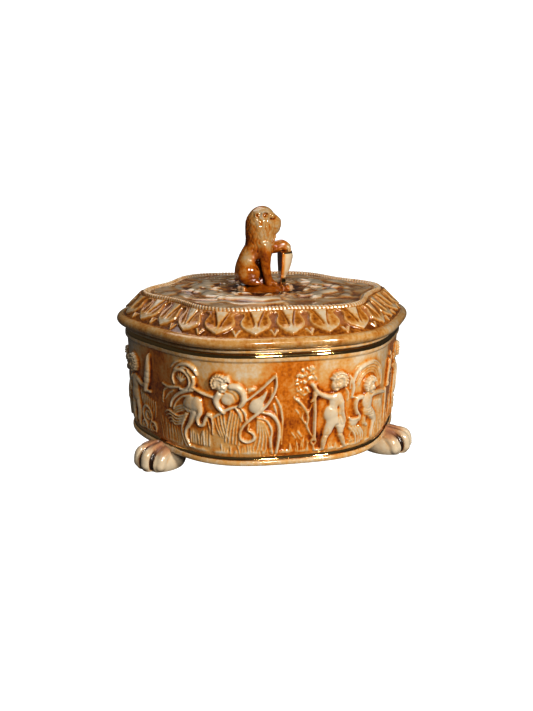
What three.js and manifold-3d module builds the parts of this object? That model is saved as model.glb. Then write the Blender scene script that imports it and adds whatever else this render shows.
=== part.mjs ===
// A six-lobed glazed earthenware vanity box: a bowl on three lion-paw feet, and a lift-off lid whose
// handle is a seated lion resting one forepaw on a shield.
// Millimetres, +Z up. The origin is on the box's axis, in the plane that the feet stand on. A lobe points
// along +X, a valley between two lobes points along +Y, and the lion looks along +X.

import * as THREE from "three";
import { mergeVertices } from "three/addons/utils/BufferGeometryUtils.js";
import Module from "manifold-3d";

const wasm = await Module();
wasm.setup();

// ---- Driving dimensions ----
const LID_RADIUS = 75; // outside of the lid's bead, at a lobe
const BOWL_RADIUS = 70.4; // bowl's wall just under its rim, at a lobe
const BOWL_TAPER = 1.8; // how much smaller that wall is at its foot
const WALL = 4.2; // thickness of the cast clay
const BASE_Z = 9; // bowl's flat underside
const RIM_Z = 63.4; // bowl's rim
const PANEL_Z = 79.2; // flat middle of the lid
const BORDER_RADIUS = 60.5; // rope border round the lid's panel, at a lobe
const FLANGE_DEPTH = 5.5; // how far the lid's locating flange reaches down into the bowl
const FLANGE_CLEARANCE = 1; // between that flange and the bowl's wall
const PLINTH_HEIGHT = 2.4; // mound that the lion sits on
const GAP = 0.3; // left between pieces that are luted to each other or rest on each other

// ---- Plan of the box ----
const LOBES = 6;
const STEPS_AROUND = 10 * LOBES;
const BOWL_DEPTH = 0.043; // depth of the valleys, as a share of the radius
const LID_DEPTH = 0.049;
const BORDER_DEPTH = 0.116;

const BALL_STEPS = [12, 8]; // facets round and up a modelled lump

/** Radius of a lobed outline at an angle, where `radius` is its size at a lobe. */
function lobed(radius, depth, angle) {
  return radius * (1 - (depth * (1 - Math.cos(LOBES * angle))) / 2);
}

/** Solid of a profile of [radius, z, valley depth] carried round the lobed plan, from axis to axis. */
function lobedGeometry(profile) {
  const outline = profile.map(([radius, z]) => new THREE.Vector2(radius, z));
  const geometry = new THREE.LatheGeometry(outline, STEPS_AROUND);
  const place = geometry.attributes.position;
  for (let step = 0; step <= STEPS_AROUND; step++) {
    const angle = ((step % STEPS_AROUND) * 2 * Math.PI) / STEPS_AROUND;
    profile.forEach(([radius, z, depth], row) => {
      const reach = lobed(radius, depth, angle);
      const index = step * profile.length + row;
      place.setXYZ(index, reach * Math.cos(angle), reach * Math.sin(angle), z);
    });
  }
  return geometry;
}

// ---- Joining and cutting ----

/** A closed geometry as a solid that can be joined and cut. */
function solidOf(geometry) {
  const bare = geometry.clone();
  bare.deleteAttribute("normal");
  bare.deleteAttribute("uv");
  const merged = mergeVertices(bare);
  return new wasm.Manifold(
    new wasm.Mesh({
      numProp: 3,
      vertProperties: new Float32Array(merged.attributes.position.array),
      triVerts: new Uint32Array(merged.index.array),
    }),
  );
}

/** The geometry of a joined or cut solid. */
function geometryOf(solid) {
  const mesh = solid.getMesh();
  const geometry = new THREE.BufferGeometry();
  geometry.setAttribute("position", new THREE.BufferAttribute(mesh.vertProperties, 3));
  geometry.setIndex(new THREE.BufferAttribute(mesh.triVerts, 1));
  geometry.computeVertexNormals();
  return geometry;
}

/** Solids joined into one. */
function joined(solids) {
  return solids.reduce((all, solid) => all.add(solid));
}

/** A box between two opposite corners. */
function blockSolid(low, high) {
  const size = high.map((value, axis) => value - low[axis]);
  const geometry = new THREE.BoxGeometry(...size);
  geometry.translate(...low.map((value, axis) => value + size[axis] / 2));
  return solidOf(geometry);
}

/** A modelled lump: an ellipsoid, leaning by `lean` degrees from upright towards +X. */
function lump([centre, radii, lean = 0]) {
  const geometry = new THREE.SphereGeometry(1, ...BALL_STEPS);
  geometry.rotateX(Math.PI / 2);
  geometry.scale(...radii);
  geometry.rotateY(THREE.MathUtils.degToRad(lean));
  geometry.translate(...centre);
  return solidOf(geometry);
}

/** The same lump on both sides of the XZ plane. */
function bothSides([[x, y, z], radii, lean]) {
  return [lump([[x, y, z], radii, lean]), lump([[x, -y, z], radii, lean])];
}

// ---- Bowl ----
const WALL_FOOT_Z = BASE_Z + 5; // where the plain wall starts, above the gilt line
const WALL_HEAD_Z = RIM_Z - 6; // where it ends, under the rim's step
const FLOOR_Z = BASE_Z + WALL;

function bowlOutside(grow = 0) {
  const foot = BOWL_RADIUS - BOWL_TAPER;
  const line = foot - 0.4;
  const lip = foot + 0.9;
  const step = BOWL_RADIUS + 1;
  const band = BOWL_RADIUS - 0.2;
  const rim = BOWL_RADIUS + 0.6;
  return [
    [0, BASE_Z - grow],
    [lip - 2.4 + grow, BASE_Z - grow],
    [lip - 0.6 + grow, BASE_Z + 0.5 - grow],
    [lip + grow, BASE_Z + 1.4],
    [line + grow, BASE_Z + 2.6],
    [line + grow, BASE_Z + 4.2],
    [foot + grow, WALL_FOOT_Z],
    [BOWL_RADIUS + grow, WALL_HEAD_Z],
    [step + grow, WALL_HEAD_Z + 0.8],
    [step + grow, WALL_HEAD_Z + 1.9],
    [band + grow, WALL_HEAD_Z + 2.6],
    [band + grow, WALL_HEAD_Z + 4.5],
    [rim + grow, WALL_HEAD_Z + 4.7],
    [rim - 0.3 + grow, RIM_Z + grow],
  ].map(([radius, z]) => [radius, z, BOWL_DEPTH]);
}

const BOWL_INNER_RADIUS = BOWL_RADIUS - WALL;

function bowlGeometry() {
  const inner = BOWL_INNER_RADIUS;
  const inside = [
    [inner + 0.6, RIM_Z],
    [inner, RIM_Z - 0.6],
    [inner - BOWL_TAPER, FLOOR_Z + 8],
    [inner - BOWL_TAPER - 2, FLOOR_Z + 3],
    [inner - BOWL_TAPER - 6.5, FLOOR_Z + 0.4],
    [0, FLOOR_Z],
  ].map(([radius, z]) => [radius, z, BOWL_DEPTH]);
  return lobedGeometry([...bowlOutside(), ...inside]);
}

// ---- Lion-paw feet ----
const PAW_REACH = 79.2; // toe tips, from the box's axis
const PAW_HALF_LENGTH = 13.2;
const PAW_HALF_WIDTH = 11.4;
const PAW_TOP_Z = 12.4;
const FOOT_ANGLES = { foot_back: 0, foot_front_left: 120, foot_front_right: 240 };

/** The back foot, which points along +Y under a valley. The other two are turned copies of it. */
function pawGeometry() {
  const middle = PAW_REACH - PAW_HALF_LENGTH;
  const sole = [[0, middle, 3.2], [PAW_HALF_WIDTH, PAW_HALF_LENGTH, 7.4]];
  const instep = [[0, middle, 4.4], [PAW_HALF_WIDTH - 2, PAW_HALF_LENGTH - 1.6, PAW_TOP_Z - 4.4]];
  const innerToe = [[3, PAW_REACH - 5.6, 4.6], [3, 5.5, 5.6]];
  const outerToe = [[8.1, PAW_REACH - 9.4, 4.2], [PAW_HALF_WIDTH - 8.2, 5.8, 5]];
  const toes = [innerToe, outerToe].flatMap(([[x, y, z], radii]) =>
    [-1, 1].map((side) => lump([[side * x, y, z], radii])),
  );
  const paw = joined([lump(sole), lump(instep), ...toes]);
  const reach = 2 * PAW_REACH;
  const ground = blockSolid([-reach, -reach, -reach], [reach, reach, 0]);
  const bowl = solidOf(lobedGeometry([...bowlOutside(GAP), [0, RIM_Z + GAP, 0]]));
  return geometryOf(paw.subtract(ground).subtract(bowl));
}

// ---- Lid ----
const SEAT_Z = RIM_Z + GAP; // lid's seat on the bowl's rim
const BEAD_HEIGHT = 5.3; // the rounded edge above the seat
const SLOPE_FOOT_Z = SEAT_Z + BEAD_HEIGHT;

function lidGeometry() {
  const flange = BOWL_INNER_RADIUS - FLANGE_CLEARANCE;
  const flangeInside = flange - 3.2;
  const flangeEnd = SEAT_Z - FLANGE_DEPTH;
  const ceiling = PANEL_Z - WALL;
  return lobedGeometry([
    [0, ceiling, BORDER_DEPTH],
    [BORDER_RADIUS - 9, ceiling, BORDER_DEPTH],
    [BORDER_RADIUS - 3, ceiling - 2.4, BORDER_DEPTH / 2],
    [flangeInside, SEAT_Z + 4, BOWL_DEPTH],
    [flangeInside, flangeEnd + 0.5, BOWL_DEPTH],
    [flangeInside + 0.5, flangeEnd, BOWL_DEPTH],
    [flange - 0.5, flangeEnd, BOWL_DEPTH],
    [flange, flangeEnd + 0.5, BOWL_DEPTH],
    [flange, SEAT_Z, BOWL_DEPTH],
    [LID_RADIUS - 3.6, SEAT_Z, LID_DEPTH],
    [LID_RADIUS - 1, SEAT_Z + 1.1, LID_DEPTH],
    [LID_RADIUS, SEAT_Z + 2.4, LID_DEPTH],
    [LID_RADIUS - 0.4, SEAT_Z + 3.9, LID_DEPTH],
    [LID_RADIUS - 1.6, SEAT_Z + 4.9, LID_DEPTH],
    [LID_RADIUS - 3, SLOPE_FOOT_Z, LID_DEPTH],
    [BORDER_RADIUS + 1.8, PANEL_Z - 0.7, BORDER_DEPTH],
    [BORDER_RADIUS + 1, PANEL_Z + 0.7, BORDER_DEPTH],
    [BORDER_RADIUS - 0.6, PANEL_Z + 0.9, BORDER_DEPTH],
    [BORDER_RADIUS - 2, PANEL_Z, BORDER_DEPTH],
    [0, PANEL_Z, BORDER_DEPTH],
  ]);
}

// ---- Handle: plinth, lion and shield ----
const PLINTH_Z = PANEL_Z + GAP;
const PLINTH_TOP_Z = PLINTH_Z + PLINTH_HEIGHT;
const PLINTH_HALF_LENGTH = 15.5;
const PLINTH_HALF_WIDTH = 11;
const PLINTH_STEPS = 24;
const LION_Z = PLINTH_TOP_Z + GAP;

function plinthGeometry() {
  const profile = [
    [0, PLINTH_Z],
    [1, PLINTH_Z],
    [0.97, PLINTH_Z + 0.5 * PLINTH_HEIGHT],
    [0.88, PLINTH_Z + 0.9 * PLINTH_HEIGHT],
    [0.8, PLINTH_TOP_Z],
    [0, PLINTH_TOP_Z],
  ].map(([share, z]) => new THREE.Vector2(share, z));
  const geometry = new THREE.LatheGeometry(profile, PLINTH_STEPS);
  geometry.rotateX(Math.PI / 2);
  geometry.scale(PLINTH_HALF_LENGTH, PLINTH_HALF_WIDTH, 1);
  return geometry;
}

/** Cuts a solid flat where it sits on the plinth. Its own heights are counted from the plinth's top. */
function seated(solid) {
  const reach = 4 * PLINTH_HALF_LENGTH;
  return solid.subtract(blockSolid([-reach, -reach, -reach], [reach, reach, 0]));
}

/** Seated lion without its raised foreleg: it looks along +X and stands on its right foreleg. */
function lionSolid() {
  const middle = [
    [[-9, 0, 6.6], [6, 6.4, 7.4]], // rump
    [[-5.6, 0, 13], [5.8, 5.8, 11], 25], // back
    [[-1.2, 0, 19], [7.6, 6.8, 8.6]], // chest
    [[-1.6, 0, 27], [8, 7.4, 8.6]], // mane
    [[0.2, 0, 32.4], [7, 6.2, 6.4]], // crown
    [[3.4, 0, 29.2], [5.3, 4.4, 5.6]], // muzzle
    [[3.8, 0, 25.6], [2.8, 2.8, 2.2]], // jaw
  ];
  const paired = [
    [[-8.2, 4.6, 6], [6.4, 3.7, 6.8]], // haunch
    [[-5, 5, 1.4], [4.2, 2.6, 2.2]], // hind paw
    [[-0.6, 5.6, 34], [1.7, 1.5, 2]], // ear
  ];
  const rightForeleg = [
    [[0.2, -4, 13.5], [3.8, 3.4, 7.6], -6],
    [[1.4, -4, 6.5], [2.6, 2.5, 7], -8],
    [[3.2, -4, 1.4], [3.4, 2.8, 2.4]],
  ];
  return seated(joined([...middle.map(lump), ...paired.flatMap(bothSides), ...rightForeleg.map(lump)]));
}

/** The left foreleg, reaching forward so that its paw lies over the shield's top edge. */
function raisedForelegSolid() {
  const upperArm = [[6, 2.6, 17.4], [5.4, 3.1, 3.1], -4];
  const wrist = [[10.6, 1.4, 18.2], [3.6, 3, 2.6], 12];
  const paw = [[12.8, 0.6, 16.8], [2.2, 3.1, 1.9], 30];
  return joined([upperArm, wrist, paw].map(lump));
}

const SHIELD_BACK_X = 8.1;
const SHIELD_TOP = 15.4;
const SHIELD_STEPS = 24;

/** Shield with a bulging front, a flat back and a narrow foot. */
function shieldSolid() {
  const profile = [
    [0, 0],
    [2.4, 0],
    [3.5, 3],
    [5.1, 7.3],
    [6.1, 12.5],
    [6.1, SHIELD_TOP - 0.8],
    [5.5, SHIELD_TOP],
    [0, SHIELD_TOP],
  ].map(([radius, z]) => new THREE.Vector2(radius, z));
  const geometry = new THREE.LatheGeometry(profile, SHIELD_STEPS);
  geometry.rotateX(Math.PI / 2);
  geometry.translate(SHIELD_BACK_X, 0, 0);
  const reach = 2 * SHIELD_TOP;
  const behind = blockSolid([-reach, -reach, -reach], [SHIELD_BACK_X, reach, reach]);
  return solidOf(geometry).subtract(behind);
}

// ---- Glazes ----
function glaze(color, roughness = 0.22) {
  return new THREE.MeshStandardMaterial({ color, roughness, metalness: 0 });
}

const GLAZES = {
  wall: glaze(0xcf8b45),
  lid: glaze(0xd39a58),
  paw: glaze(0xe0d2b4),
  lion: glaze(0xc98540, 0.15),
  plinth: glaze(0xb4601f, 0.15),
  shield: glaze(0xd8c29a, 0.15),
};

/** A named piece, lifted to where it stands. */
function piece(name, geometry, material, z = 0) {
  const mesh = new THREE.Mesh(geometry, material);
  mesh.name = name;
  mesh.position.z = z;
  return mesh;
}

// ---- Assembly ----
const base = new THREE.Group();
base.add(piece("box_bowl", bowlGeometry(), GLAZES.wall));
const paw = pawGeometry();
for (const [name, turn] of Object.entries(FOOT_ANGLES)) {
  const foot = piece(name, paw, GLAZES.paw);
  foot.rotation.z = THREE.MathUtils.degToRad(turn);
  base.add(foot);
}

const lid = new THREE.Group();
const body = lionSolid();
const foreleg = raisedForelegSolid();
const clearance = [-GAP, GAP].flatMap((shift) => [
  body.translate(shift, 0, 0),
  body.translate(0, shift, 0),
  body.translate(0, 0, shift),
]);
const shield = shieldSolid();
const shieldRoom = [[GAP, 0, 0], [-GAP, 0, 0], [0, 0, GAP]].map((shift) => shield.translate(shift));
const freeForeleg = foreleg.subtract(joined([body, ...clearance])).subtract(joined(shieldRoom));
lid.add(piece("lid_shell", lidGeometry(), GLAZES.lid));
lid.add(piece("finial_plinth", plinthGeometry(), GLAZES.plinth));
lid.add(piece("lion_body", geometryOf(body), GLAZES.lion, LION_Z));
lid.add(piece("lion_raised_foreleg", geometryOf(freeForeleg), GLAZES.lion, LION_Z));
lid.add(piece("lion_shield", geometryOf(shield), GLAZES.shield, LION_Z));

const box = new THREE.Group();
box.add(base, lid);

export default box;
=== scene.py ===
"""Looks of the six-lobed vanity box: relief walls, leaf frieze, rope border, paws and lion, all in glaze.

Shapes are worked out in millimetres and written to Blender in metres. The relief is drawn as height maps
on the unrolled wall and on the lid, and the paws and the lion are modelled as lumps of clay on a fine grid.
"""

import math

import bpy
import numpy as np
from mathutils import Matrix, Vector


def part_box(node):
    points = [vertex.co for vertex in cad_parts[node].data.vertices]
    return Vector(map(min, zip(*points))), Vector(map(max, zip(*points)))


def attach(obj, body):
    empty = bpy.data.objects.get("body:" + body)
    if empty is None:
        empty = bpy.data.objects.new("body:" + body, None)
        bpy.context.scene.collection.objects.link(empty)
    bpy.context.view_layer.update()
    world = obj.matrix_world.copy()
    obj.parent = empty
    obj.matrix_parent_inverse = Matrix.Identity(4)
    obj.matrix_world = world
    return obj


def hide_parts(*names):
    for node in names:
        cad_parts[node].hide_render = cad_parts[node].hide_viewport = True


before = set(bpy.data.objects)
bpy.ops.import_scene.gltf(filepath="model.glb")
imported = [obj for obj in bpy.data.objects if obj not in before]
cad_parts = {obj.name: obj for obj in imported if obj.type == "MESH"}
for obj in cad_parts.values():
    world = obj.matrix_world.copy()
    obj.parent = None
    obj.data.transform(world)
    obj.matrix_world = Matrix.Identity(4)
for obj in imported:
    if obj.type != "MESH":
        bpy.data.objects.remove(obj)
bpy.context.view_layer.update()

MM = 0.001

# ---- Sizes, mm: from the CAD parts where they have them ----


def node_box(node):
    """Lowest and highest corner of a CAD node, mm."""
    return [np.array(corner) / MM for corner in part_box(node)]


BOWL_LOW, BOWL_HIGH = node_box("box_bowl")
LID_LOW, LID_HIGH = node_box("lid_shell")
PLINTH_LOW, PLINTH_HIGH = node_box("finial_plinth")
LION_LOW, LION_HIGH = node_box("lion_body")
FOOT_HIGH = node_box("foot_back")[1]
SHIELD_LOW, SHIELD_HIGH = node_box("lion_shield")

BASE_Z = BOWL_LOW[2]
RIM_Z = BOWL_HIGH[2]
WALL_RADIUS = BOWL_HIGH[0] - 1.0  # plain wall under the rim, at a lobe
LID_RADIUS = LID_HIGH[0]
SEAT_Z = RIM_Z + 0.3
PANEL_Z = PLINTH_LOW[2] - 0.3
BORDER_RADIUS = 60.5
FRIEZE_RADIUS = 66  # halfway up the leaf frieze
WALL_TAPER = 1.8
WALL_THICKNESS = 4.2
LOBES = 6
BOWL_DEPTH, LID_DEPTH, BORDER_DEPTH, HUB_DEPTH = 0.043, 0.049, 0.116, 0.06  # of the valleys, as a share

COLUMNS_PER_LOBE = 220
COLUMNS = LOBES * COLUMNS_PER_LOBE
FINE = 0.33  # spacing of the rows that carry relief
GLAZE_FLOW = 0.24  # how far the glaze rounds the relief
PANEL_ROW = 0.42  # spacing of the rows on the lid's panel
PANEL_COLUMN, PANEL_EDGE_COLUMN = 0.2, 0.3  # spacing of its columns, well inside and at its edge
RELIEF_LOW_Z, RELIEF_HIGH_Z = BASE_Z + 4.8, RIM_Z - 6
CANVAS_ZERO = BASE_Z - 12  # the scenes on the wall count their heights from here
CANVAS_GROUND = RELIEF_LOW_Z - CANVAS_ZERO
LEAVES = 26
FLUTES = 8 * LEAVES
PAW_HALF_LENGTH = 13.2
PAW_TUCK = 1.5  # how far a paw runs in under the wall
TOE_GROOVE = (1.15, 0.8)  # width and depth of one pass; each groove takes two
FORELEG_LOW, FORELEG_HIGH, FORELEG_BACK = 14.2, 23.4, 5.6  # where the raised one is cut from the lion
OPEN_AIR = 6.0  # the clay grid's value where no clay has been laid
FAR = 9.0  # farther than anything drawn or modelled reaches

# The camera sits a little left of the front valley and looks slightly down.
CAMERA_AZIMUTH = -10.81
CAMERA_ELEVATION = 14.42
CAMERA_DISTANCE = 387
CAMERA_AIM_Z = 43.67
CAMERA_LENS = 37.11
CAMERA_SHIFT = (0.0034, -0.0009)
CAMERA_NEAR = 10  # nothing closer is seen
CAMERA_GAMMA, CAMERA_EXPOSURE = 0.8, 0.25  # the photo's contrast and brightness

# Soft lamps round the box: name, azimuth, elevation, size in m, power in W, colour.
LAMP_DISTANCE = 900
LAMP_AIM_Z = 50
WARM, NEUTRAL = (1, 0.95, 0.89), (1, 1, 1)
LAMPS = (
    ("window_front", 3.5, 25, (0.13, 0.13), 3.0, WARM),
    ("window_side", 26, 24, (0.1, 0.13), 5.0, WARM),
    ("fill_back", 205, 62, (0.7, 0.7), 3, NEUTRAL),
)
ROOM_LIGHT = 0.06
BACKDROP_COLOR = (1, 0.94, 0.86, 1)
BACKDROP_GLOW = 1.1
FLOOR_COLOR = (0.12, 0.12, 0.12, 1)
FLOOR_GLOW = 1.02
FLOOR_RADIUS = 5.0  # m


# ---- Plan of the box ----


def lobed(radius, depth, angle):
    """Radius of a lobed outline at an angle, where `radius` is its size at a lobe."""
    return radius * (1 - depth * (1 - np.cos(LOBES * angle)) / 2)


def even_angles():
    """Angles of the columns, evenly spaced along the wall, and the wall's length over one lobe."""
    angle = np.linspace(0, 2 * np.pi, 24 * COLUMNS + 1)
    reach = lobed(WALL_RADIUS, BOWL_DEPTH, angle)
    steps = np.hypot(np.diff(reach * np.cos(angle)), np.diff(reach * np.sin(angle)))
    along = np.concatenate([[0], np.cumsum(steps)])
    wanted = np.arange(COLUMNS) * along[-1] / COLUMNS
    return np.interp(wanted, along, angle), along[-1] / LOBES


ANGLES, LOBE_LENGTH = even_angles()


def smoothstep(low, high, value):
    """Goes smoothly from 0 at `low` to 1 at `high`, which may also be the lower of the two."""
    t = np.clip((value - low) / (high - low), 0, 1)
    return t * t * (3 - 2 * t)


def blurred(image, sigma, step):
    """Gaussian blur of a height map that closes on itself along its rows: `sigma` in mm, `step` the
    (row, column) spacing in mm."""
    result = image
    for axis in (0, 1):
        reach = int(3 * sigma / step[axis]) + 1
        offsets = np.arange(-reach, reach + 1)
        weights = np.exp(-0.5 * (offsets * step[axis] / sigma) ** 2)
        weights /= weights.sum()
        pad = [(0, 0), (0, 0)]
        pad[axis] = (reach, reach)
        padded = np.pad(result, pad, mode="wrap" if axis == 1 else "edge")
        size = result.shape[axis]
        result = sum(w * np.take(padded, range(i, i + size), axis) for i, w in enumerate(weights))
    return result


# ---- Relief drawing ----


def curve_through(points, steps=8):
    """A smooth line through points (Catmull-Rom)."""
    p = np.array([points[0], *points, points[-1]], float)
    line = []
    for a, b, c, d in zip(p, p[1:], p[2:], p[3:]):
        for t in np.linspace(0, 1, steps, endpoint=False):
            line.append(0.5 * (2 * b + (c - a) * t + (2 * a - 5 * b + 4 * c - d) * t**2
                               + (3 * b - a - 3 * c + d) * t**3))
    return np.array([*line, p[-2]])


class Relief:
    """Height map in mm over a patch with coordinates u, v in mm."""

    def __init__(self, u, v):
        self.u, self.v = u, v
        self.height = np.zeros(u.shape)

    def near(self, low, high, reach):
        """The indices within `reach` of a box."""
        return np.nonzero(
            (self.u > low[0] - reach) & (self.u < high[0] + reach)
            & (self.v > low[1] - reach) & (self.v < high[1] + reach)
        )

    def raise_to(self, where, height):
        """Lays clay on: the higher of the two heights, with a fillet where both are well above
        the ground."""
        old = self.height[where]
        soft = np.clip(1.1 * (np.minimum(old, height) - 0.75), 1e-3, 0.6)
        joint = np.clip(soft - np.abs(old - height), 0, None)
        self.height[where] = np.maximum(old, height) + joint**2 / (4 * soft)

    def pad(self, centre, radii, height, turn=0):
        """A rounded pad: an ellipse turned by `turn` degrees."""
        where = self.near(centre, centre, max(radii))
        du, dv = self.u[where] - centre[0], self.v[where] - centre[1]
        c, s = math.cos(math.radians(turn)), math.sin(math.radians(turn))
        reach = ((du * c + dv * s) / radii[0]) ** 2 + ((dv * c - du * s) / radii[1]) ** 2
        self.raise_to(where, height * np.sqrt(np.clip(1 - reach, 0, None)))

    def along(self, points, widths):
        """Where a line runs: the indices near it, the distance from it as a share of its half width, and
        how far along it is."""
        line = curve_through(points) if len(points) > 2 else np.array(points, float)
        where = self.near(line.min(0), line.max(0), max(widths))
        u, v = self.u[where], self.v[where]
        share, place = np.full(u.shape, FAR), np.zeros(u.shape)
        for i, (a, b) in enumerate(zip(line, line[1:])):
            d = b - a
            t = np.clip(((u - a[0]) * d[0] + (v - a[1]) * d[1]) / (d @ d + 1e-9), 0, 1)
            at = (i + t) / (len(line) - 1)
            width = np.interp(at, np.linspace(0, 1, len(widths)), widths)
            distance = np.hypot(u - a[0] - t * d[0], v - a[1] - t * d[1]) / width
            closer = distance < share
            share, place = np.where(closer, distance, share), np.where(closer, at, place)
        return where, share, place

    def ridge(self, points, widths, height, tail=None):
        """A rounded ridge along a line, whose half width goes through `widths`."""
        where, share, place = self.along(points, widths)
        level = height if tail is None else height + (tail - height) * place
        self.raise_to(where, level * np.sqrt(np.clip(1 - share**2, 0, None)))

    def groove(self, points, width, depth):
        """A scored line in what is already there."""
        where, share, _ = self.along(points, [width, width])
        self.height[where] -= depth * np.clip(1 - share**2, 0, None)

    def arc(self, centre, radius, start, end, width, height, flat=1.0):
        """A ridge along part of a circle, from `start` to `end` degrees."""
        turns = np.radians(np.linspace(start, end, 9))
        points = [(centre[0] + radius * math.cos(a), centre[1] + flat * radius * math.sin(a)) for a in turns]
        self.ridge(points, [0.6 * width, width, width, 0.6 * width], height)


def putto_head(r, centre, size, look, height=1.9):
    """A child's head with curled hair and a plain face turned to one side (look -1 or 1)."""
    x, z = centre

    def at(ahead, up):
        return (x + look * ahead * size, z + up * size)

    def pad(ahead, up, reach, level):
        r.pad(at(ahead, up), (reach[0] * size, reach[1] * size), height + level)

    pad(0, 0.06, (0.9, 0.92), 0)
    pad(0.3, -0.26, (0.62, 0.74), 0.3)
    for cheek in (0.06, 0.62):
        pad(cheek, -0.38, (0.26, 0.26), 0.5)
    pad(0.34, -0.76, (0.26, 0.18), 0.5)
    r.ridge([at(0.36, 0.1), at(0.4, -0.26)], [0.07 * size, 0.13 * size], height + 0.9)
    for reach, first, last, count in ((0.84, 22, 222, 10), (0.48, 40, 200, 6)):
        for turn in np.radians(np.linspace(first, last, count)):
            pad(reach * math.cos(turn), 0.14 + reach * math.sin(turn), (0.19, 0.19), 0.9)
    pad(-0.42, -0.26, (0.13, 0.22), 0.6)
    for eye in (0.14, 0.58):
        r.groove([at(eye - 0.08, 0), at(eye + 0.08, 0.01)], 0.1 * size, 0.8)
    r.groove([at(0.16, -0.54), at(0.36, -0.62), at(0.56, -0.54)], 0.075 * size, 0.6)
    r.groove([at(-0.1, -0.8), at(0.1, -0.98), at(0.5, -1.02)], 0.1 * size, 0.6)


def grass(r, rng, span, low, high, pitch=1.25, lean=0.0, height=0.7):
    """Blades standing on the ground at a rough pitch, each leaning its own way."""
    for foot in np.arange(span[0], span[1], pitch):
        foot += rng.uniform(-0.25, 0.25) * pitch
        top = rng.uniform(0.45, 1.0) * (high - low)
        bend = (lean + rng.normal(0, 0.1)) * top
        blade = [(foot, low), (foot + 0.25 * bend, low + 0.55 * top), (foot + bend, low + top)]
        r.ridge(blade, [0.45, 0.42, 0.2], height * rng.uniform(0.7, 1.2))


def fan(r, tops, feet, count, bow=0.0, width=0.42, height=0.85):
    """A spray of reeds between a line of tops and a line of feet, each bowed sideways."""
    for k in range(count):
        t = k / max(1, count - 1)
        top = np.array(tops[0]) * (1 - t) + np.array(tops[1]) * t
        foot = np.array(feet[0]) * (1 - t) + np.array(feet[1]) * t
        middle = (top + foot) / 2 + [bow, 0]
        r.ridge([tuple(top), tuple(middle), tuple(foot)], [width, width, 0.5 * width], height)


def foliage(r, rng, centre, spread, count, size, height=0.9):
    """A crown of small leaves."""
    for _ in range(count):
        a, k = rng.uniform(0, 2 * np.pi), math.sqrt(rng.uniform(0, 1))
        spot = (centre[0] + k * spread[0] * math.cos(a), centre[1] + k * spread[1] * math.sin(a))
        radii = (size * rng.uniform(0.7, 1.2), 0.45 * size)
        r.pad(spot, radii, height * rng.uniform(0.6, 1.15), turn=rng.uniform(0, 180))


def spread_reeds(r):
    """Reeds that spread under the child's hand."""
    fan(r, ((0.6, 36.4), (5.2, 37.2)), ((3.4, 26), (7.4, 24.2)), 4, bow=-0.5, width=0.36)
    fan(r, ((8.6, 38.4), (13, 35.4)), ((5.6, 23.6), (12, 22.2)), 5, bow=-0.2, width=0.5)
    r.ridge([(10.6, 40.2), (12.6, 37.4), (13.6, 33.8)], [0.5, 1.1, 0.5], 1.2)
    r.ridge([(13.2, 39.8), (14.9, 37.6), (15.2, 34.4)], [0.4, 0.8, 0.4], 1.1)
    r.ridge([(4.4, 37.6), (0.8, 35.2), (-0.4, 33)], [0.8, 0.6, 0.4], 1.1)


def plume(r):
    """A coil with a crest of long feathers above it."""
    r.pad((-16.4, 50.4), (2.9, 3.0), 0.6)
    for k in range(5):
        t = math.radians(20 + 36 * k)
        r.ridge([(-16.6, 49.4), (-16.4 + 3 * math.cos(t), 50.4 + 3 * math.sin(t))], [0.55, 0.4], 1.3)
    r.arc((-16.6, 50.2), 5.4, -100, 215, 1.05, 1.5, flat=0.86)
    r.ridge([(-21, 54.6), (-17, 57.2), (-12.4, 58), (-8.8, 56.4), (-7.2, 53.8)],
            [0.4, 0.8, 1.2, 1.2, 0.5], 1.4)
    r.ridge([(-19, 54.4), (-14.8, 56.2), (-11.6, 55.6)], [0.5, 0.8, 0.4], 1.2)
    r.ridge([(-23.6, 54.8), (-20.6, 57.4), (-16.6, 59)], [0.3, 0.6, 0.3], 0.8)
    r.ridge([(-12, 55), (-9.4, 52.6), (-9.1, 49.6), (-11.2, 46.8)], [0.8, 1.2, 1.2, 0.8], 1.6)


def crane_wing(r):
    """The crane's wing coverts and tail."""
    r.ridge([(-9.6, 46.4), (-14.5, 45), (-19.4, 42.6), (-23.4, 39), (-24.8, 35.4)],
            [0.8, 1.0, 1.0, 0.5], 1.5)
    r.ridge([(-11, 43.8), (-16.2, 42.2), (-20.6, 38.8), (-23, 35)], [0.7, 0.65, 0.4], 1.2)
    r.ridge([(-31, 45.6), (-26, 44.8), (-21.5, 45.6), (-17, 46.4)], [0.4, 0.8, 0.8, 0.4], 1.0)
    r.ridge([(-31.4, 36), (-30, 42), (-27, 44)], [0.4, 0.7, 0.4], 0.9)
    r.ridge([(-29.4, 38), (-26.4, 41.4), (-22.6, 43.6)], [0.3, 0.5, 0.3], 0.8)
    for k in range(4):
        r.ridge([(-13 - k, 34.6 - 1.7 * k), (-20 - 0.6 * k, 32 - 1.5 * k), (-26.6 + 0.9 * k, 33.2 - 1.5 * k),
                 (-30.4 + 1.2 * k, 31.4 - 1.3 * k)], [0.5, 0.62, 0.5, 0.25], 1.3)
    for k in range(3):
        r.ridge([(-15.4, 38.4 - 1.2 * k), (-20, 36.6 - 1.3 * k), (-23.4, 34.2 - k)], [0.45, 0.55, 0.3], 1.0)


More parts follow.
